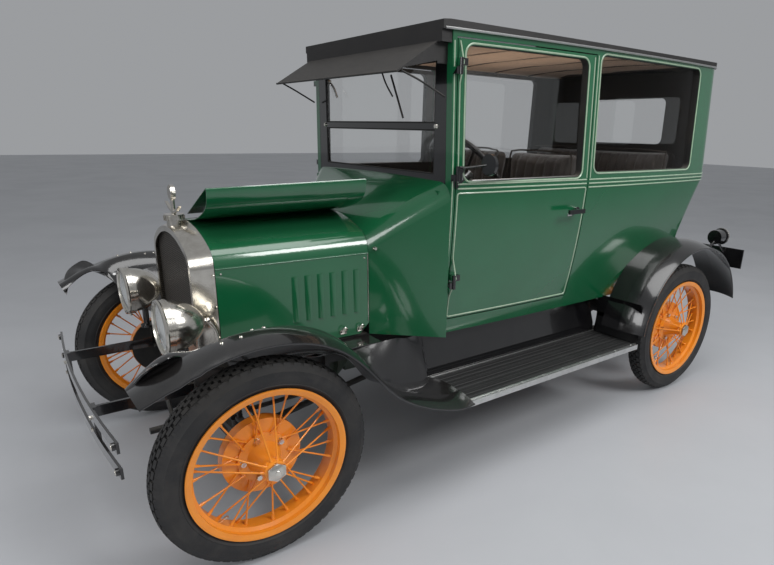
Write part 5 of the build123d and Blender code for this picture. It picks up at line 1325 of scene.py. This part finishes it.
class CAR_OT_build_engine(bpy.types.Operator):
    """Adds bolts, leads, the fan belt, clamps, carburettor parts and the coil box"""

    bl_idname = "car.build_engine"
    bl_label = "Engine"

    def execute(self, context):
        front_x = 1.210
        head_top = 0.850
        bolts = bmesh.new()
        for x in spaced(front_x - 0.035, front_x - 0.435, 7):
            for y in (-0.070, 0.072):
                add_stub(bolts, (x, y, head_top - 0.001), (0, 0, 0.011), 0.0095, 6)
                add_stub(bolts, (x, y, head_top + 0.010), (0, 0, 0.006), 0.005, 10)
        for x in spaced(front_x - 0.02, front_x - 0.45, 10):
            for side, _ in SIDES:
                add_stub(bolts, (x, side * 0.110, 0.424), (0, 0, 0.008), 0.007, 6)
        for x in spaced(front_x - 0.06, front_x - 0.42, 3):
            for z in (0.664, 0.736):
                add_stub(bolts, (x, -0.099, z), (0, -0.017, 0), 0.008, 6)
        piece("engine_bolts", bolts, "steel_grey", ROOT)

        covers = bmesh.new()
        add_block(covers, (front_x - 0.235, 0.1015, 0.62), (0.27, 0.007, 0.085))
        add_block(covers, (front_x + 0.004, 0, 0.52), (0.012, 0.15, 0.16))
        for x in spaced(front_x - 0.12, front_x - 0.35, 4):
            for z in (0.590, 0.650):
                add_stub(covers, (x, 0.104, z), (0, 0.005, 0), 0.006, 6)
        piece("engine_covers", covers, "cast_alloy", ROOT)

        plugs = bmesh.new()
        leads = bmesh.new()
        for x in spaced(front_x - 0.070, front_x - 0.400, 4):
            add_stub(plugs, (x, 0.015, head_top - 0.001), (0, 0, 0.013), 0.0135, 6)
            add_stub(plugs, (x, 0.015, head_top + 0.046), (0, 0, 0.010), 0.006, 12, 0.004)
            lead = [
                (x, 0.015, head_top + 0.052),
                (x - 0.005, 0.035, head_top + 0.058),
                (x - 0.015, 0.070, head_top + 0.045),
                (x - 0.02, 0.085, head_top + 0.024),
            ]
            add_tube(leads, smooth_path(lead), 0.0035, 8)
        rail_z = head_top + 0.020
        rail = [(front_x - 0.06, 0.086, rail_z), (front_x - 0.44, 0.086, rail_z), (0.715, 0.11, 0.905)]
        add_tube(leads, smooth_path(rail, 10), 0.009, 10)
        piece("plug_nuts", plugs, "brass", ROOT)
        piece("plug_leads", leads, "loom_braid", ROOT)

        belt = bmesh.new()
        points = []
        belt_radius = 0.0585
        for centre_z, start in ((FAN_Z, 0), (CRANK_Z, 180)):
            for angle in spaced(radians(start), radians(start + 180), 13):
                y, rise = belt_radius * cos(angle), belt_radius * sin(angle)
                points.append((front_x + 0.022, y, centre_z + rise))
        add_tube(belt, points, 0.006, 8, closed=True)
        piece("fan_belt", belt, "hose_rubber", ROOT)

        clamps = bmesh.new()
        start = Vector((front_x - 0.030, 0, head_top + 0.030))
        end = Vector((1.304, 0, head_top + 0.090))
        run = (end - start).normalized()
        for distance in (0.035, 0.105):
            place = start + run * distance
            add_rod(clamps, place - run * 0.006, place + run * 0.006, 0.0245, 28)
            add_stub(clamps, place + Vector((0, -0.014, 0.024)), (0, 0.028, 0), 0.004, 8)
        fuel = [(0.975, -0.19, 0.60), (0.95, -0.215, 0.585), (0.86, -0.225, 0.60)]
        fuel += [(0.74, -0.2, 0.66), (0.70, -0.17, 0.70)]
        add_tube(clamps, smooth_path(fuel, 8), 0.004, 8)
        piece("hose_clamps", clamps, "brass", ROOT)

        carb = bmesh.new()
        centre = Vector((0.975, -0.185, 0.630))
        add_stub(carb, centre + Vector((0, 0, -0.075)), (0, 0, 0.040), 0.030, 24, 0.036)
        add_stub(carb, centre + Vector((0.035, 0, 0.02)), (0.050, 0, 0), 0.022, 24, 0.026)
        add_stub(carb, centre + Vector((-0.02, -0.03, 0.045)), (0, -0.022, 0), 0.006, 10)
        add_block(carb, centre + Vector((-0.02, -0.054, 0.03)), (0.008, 0.004, 0.05))
        piece("carburettor", carb, "brass", ROOT)

        box = bmesh.new()
        add_block(box, (0.699, -0.10, 0.86), (0.034, 0.20, 0.12))
        piece("coil_box", box, "wood_box", ROOT)
        caps = bmesh.new()
        for y in spaced(-0.17, -0.03, 4):
            for z in (0.90, 0.83):
                add_stub(caps, (0.716, y, z), (0.008, 0, 0), 0.007, 12, 0.005)
        piece("coil_terminals", caps, "brass", ROOT)
        return {"FINISHED"}


# Fenders, boards and windshield


class CAR_OT_build_fender_trim(bpy.types.Operator):
    """Adds rolled fender edges, bolts, the closing panels and the boards' trim"""

    bl_idname = "car.build_fender_trim"
    bl_label = "Fender trim"

    def execute(self, context):
        edges = bmesh.new()
        for side, _ in SIDES:
            for node in ("front_fenders", "rear_fenders"):
                line = self.outer_edge(node, side)
                if len(line) > 2:
                    add_tube(edges, line, 0.0045, 8)
        piece("fender_edges", edges, "gloss_black", ROOT)

        bolts = bmesh.new()
        tree = skin("front_fenders")
        for side, _ in SIDES:
            for x, y in ((1.455, 0.752), (1.395, 0.752), (1.30, 0.70), (1.34, 0.70)):
                place = laid(tree, (x, side * y, 1.2), (0, 0, -1))
                if place:
                    add_stub(bolts, place, (0, 0, 0.004), 0.0065, 12, 0.0045)
            for z in (0.47, 0.52, 0.57):
                add_stub(bolts, (-0.738, side * 0.62, z), (0.004, 0, 0), 0.006, 12, 0.004)
        piece("fender_bolts", bolts, "nickel", ROOT)

        closing = bmesh.new()
        for side, _ in SIDES:
            rows = []
            for share in spaced(0, 1, 12):
                x = -0.7285 - 0.02 * sin(pi * share)
                z = 0.374 + share * 0.235
                rows.append([closing.verts.new((x, side * y, z)) for y in spaced(0.505, 0.790, 8)])
            fill_grid(closing, rows)
        bmesh.ops.solidify(closing, geom=list(closing.faces), thickness=0.002)
        piece("closing_panels", closing, "gloss_black", ROOT)

        ribs = bmesh.new()
        strips = bmesh.new()
        for side, _ in SIDES:
            for y in spaced(0.53, 0.77, 9):
                add_stub(ribs, (-0.715, side * y, BOARD_TOP_Z + 0.0005), (1.183, 0, 0), 0.0035, 6)
            for y, width in ((0.790, 0.014), (0.514, 0.008)):
                add_block(strips, (-0.124, side * y, BOARD_TOP_Z + 0.0025), (1.190, width, 0.004))
            for x in spaced(-0.68, 0.43, 9):
                add_stub(strips, (x, side * 0.790, BOARD_TOP_Z + 0.004), (0, 0, 0.0025), 0.004, 10, 0.003)
        piece("board_ribs", ribs, "board_mat", ROOT)
        piece("board_strips", strips, "aluminium", ROOT)
        return {"FINISHED"}

    def outer_edge(self, node, side):
        """The line of a fender's outer lip, from front to rear."""
        lip_y = 0.8275
        found = {}
        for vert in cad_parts[node].data.vertices:
            place = vert.co.copy()
            if place.y * side <= lip_y:
                continue
            if node == "rear_fenders":
                spoke = Vector((place.x - REAR_AXLE_X, place.z - 0.385))
                key = round(spoke.angle_signed(Vector((1, 0))) / 0.06)
            else:
                key = round(place.x / 0.03)
            if key not in found or place.y * side > found[key].y * side:
                found[key] = place
        line = [found[key] for key in sorted(found)]
        return [Vector((point.x, point.y - side * 0.003, point.z)) for point in line]


class CAR_OT_build_windshield(bpy.types.Operator):
    """Adds the wiper, swing handles, seals and the visor's edge"""

    bl_idname = "car.build_windshield"
    bl_label = "Windshield"

    def execute(self, context):
        black = bmesh.new()
        face_x = WINDSHIELD_X + 0.001
        add_block(black, (face_x + 0.010, 0.09, 1.752), (0.024, 0.060, 0.032))
        add_stub(black, (face_x + 0.018, 0.09, 1.745), (0.012, 0, 0), 0.007, 12)
        arm = [(face_x + 0.028, 0.09, 1.745), (face_x + 0.028, 0.14, 1.66), (face_x + 0.016, 0.18, 1.60)]
        add_tube(black, smooth_path(arm), 0.0035, 8)
        blade_turn = Matrix.Rotation(radians(28), 4, "X")
        add_block(black, (face_x + 0.010, 0.205, 1.60), (0.006, 0.008, 0.20), blade_turn)
        piece("wiper", black, "satin_black", ROOT)
        seals = bmesh.new()
        seal_x = WINDSHIELD_X - 0.004
        for low, high in ((1.293, 1.465), (1.495, 1.722)):
            corners = [(-0.457, low), (0.457, low), (0.457, high), (-0.457, high)]
            for (y0, z0), (y1, z1) in zip(corners, corners[1:] + corners[:1]):
                add_rod(seals, (seal_x, y0, z0), (seal_x, y1, z1), 0.003, 6)
        piece("windshield_seals", seals, "hose_rubber", ROOT)
        bright = bmesh.new()
        edge = bmesh.new()
        add_stub(edge, (0.664, -0.530, 1.668), (0, 1.060, 0), 0.0045, 8)
        for side, _ in SIDES:
            pivot = Vector((WINDSHIELD_X - 0.022, side * 0.478, 1.690))
            add_stub(bright, pivot, (-0.016, 0, 0), 0.013)
            arm = ((-0.014, 0, 0), (-0.026, -side * 0.02, -0.03), (-0.040, -side * 0.028, -0.075))
            add_tube(bright, smooth_path([pivot + Vector(step) for step in arm]), 0.0055, 10)
            add_stub(bright, (face_x, side * 0.470, 1.480), (0.006, 0, 0), 0.011, 16, 0.008)
            stay = [(0.640, side * 0.520, 1.672), (0.560, side * 0.534, 1.640), (0.452, side * 0.545, 1.590)]
            add_tube(edge, smooth_path(stay), 0.004, 8)
        piece("windshield_handles", bright, "nickel", ROOT)
        piece("visor_edge", edge, "satin_black", ROOT)
        return {"FINISHED"}


# Stage

# Camera fitted to the photograph, and lights: name, place, goal, width, height, power
CAMERA_PLACE = (1.9709, 2.4215, 1.4670)
CAMERA_SHIFT = (-0.0538, 0.0518)
LIGHTS = (
    ("overhead", (0.6, 1.6, 5.4), (0, 0, 0.6), 4.5, 3.0, 150),
    ("side_panel", (-1.6, 5.0, 4.6), (-0.4, 0, 0.8), 2.6, 1.8, 190),
    ("front_panel", (5.6, 1.2, 2.2), (0.8, 0, 0.7), 2.0, 1.8, 60),
    ("cabin_fill", (-0.35, 0, 1.45), (-0.35, 0.001, 1.85), 0.7, 0.8, 3),
)


class CAR_OT_set_stage(bpy.types.Operator):
    """Lays the floor, sets soft lights and places the camera at the photograph's angle"""

    bl_idname = "car.set_stage"
    bl_label = "Stage"

    def execute(self, context):
        scene = context.scene
        settings = scene.car_stage
        bm = bmesh.new()
        bmesh.ops.create_grid(bm, x_segments=1, y_segments=1, size=30)
        mesh = bpy.data.meshes.new("floor_plane")
        bm.to_mesh(mesh)
        bm.free()
        floor = bpy.data.objects.new("floor_plane", mesh)
        scene.collection.objects.link(floor)
        mesh.materials.append(coats["stage_floor"])
        for name, place, goal, width, height, power in LIGHTS:
            lamp = bpy.data.lights.new(name, "AREA")
            lamp.shape = "RECTANGLE"
            lamp.size = width
            lamp.size_y = height
            lamp.energy = power
            obj = bpy.data.objects.new(name, lamp)
            obj.location = place
            obj.rotation_euler = (Vector(goal) - Vector(place)).to_track_quat("-Z", "Y").to_euler()
            obj.visible_camera = False
            obj.visible_glossy = name != "cabin_fill"
            obj.visible_transmission = False
            scene.collection.objects.link(obj)
        world = bpy.data.worlds.new("soft_room")
        world.use_nodes = True
        ground = world.node_tree.nodes["Background"]
        ground.inputs["Color"].default_value = (0.78, 0.80, 0.83, 1)
        ground.inputs["Strength"].default_value = 0.42
        scene.world = world
        scene.view_settings.view_transform = "Standard"
        lens = bpy.data.cameras.new("photo_camera")
        lens.lens = settings.lens
        lens.sensor_width = 36
        lens.shift_x, lens.shift_y = CAMERA_SHIFT
        camera = bpy.data.objects.new("photo_camera", lens)
        camera.location = CAMERA_PLACE
        turn = Matrix.Rotation(settings.heading, 3, "Z") @ Matrix.Rotation(settings.tilt, 3, "X")
        camera.rotation_euler = (turn @ Matrix.Rotation(settings.roll, 3, "Z")).to_euler()
        scene.collection.objects.link(camera)
        scene.camera = camera
        return {"FINISHED"}


class CAR_PT_dressing(bpy.types.Panel):
    """Buttons and settings for dressing the car"""

    bl_label = "Vintage Car"
    bl_idname = "CAR_PT_dressing"
    bl_space_type = "VIEW_3D"
    bl_region_type = "UI"
    bl_category = "Car"

    def draw(self, context):
        for operator in OPERATORS:
            self.layout.operator(operator.bl_idname)
        for group in SETTINGS:
            box = self.layout.box()
            values = getattr(context.scene, group)
            for label in SETTINGS[group].__annotations__:
                box.prop(values, label)


SETTINGS = {
    "car_tyres": TyreSettings,
    "car_trim": TrimSettings,
    "car_seats": SeatSettings,
    "car_stage": StageSettings,
}
OPERATORS = (
    CAR_OT_paint_solids,
    CAR_OT_build_tyres,
    CAR_OT_build_wheel_fittings,
    CAR_OT_build_body_trim,
    CAR_OT_build_cabin,
    CAR_OT_build_seats,
    CAR_OT_build_lamps,
    CAR_OT_build_nose,
    CAR_OT_build_engine,
    CAR_OT_build_fender_trim,
    CAR_OT_build_windshield,
    CAR_OT_set_stage,
)


def register():
    for group, settings in SETTINGS.items():
        bpy.utils.register_class(settings)
        setattr(bpy.types.Scene, group, PointerProperty(type=settings))
    for operator in OPERATORS:
        bpy.utils.register_class(operator)
    bpy.utils.register_class(CAR_PT_dressing)


def unregister():
    bpy.utils.unregister_class(CAR_PT_dressing)
    for operator in reversed(OPERATORS):
        bpy.utils.unregister_class(operator)
    for group, settings in SETTINGS.items():
        delattr(bpy.types.Scene, group)
        bpy.utils.unregister_class(settings)


def main():
    """Dresses the whole car."""
    register()
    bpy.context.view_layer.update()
    bpy.ops.car.paint_solids()
    bpy.ops.car.build_tyres()
    bpy.ops.car.build_wheel_fittings()
    bpy.ops.car.build_body_trim()
    bpy.ops.car.build_cabin()
    bpy.ops.car.build_seats()
    bpy.ops.car.build_lamps()
    bpy.ops.car.build_nose()
    bpy.ops.car.build_engine()
    bpy.ops.car.build_fender_trim()
    bpy.ops.car.build_windshield()
    bpy.ops.car.set_stage()


if __name__ == "__main__":
    main()
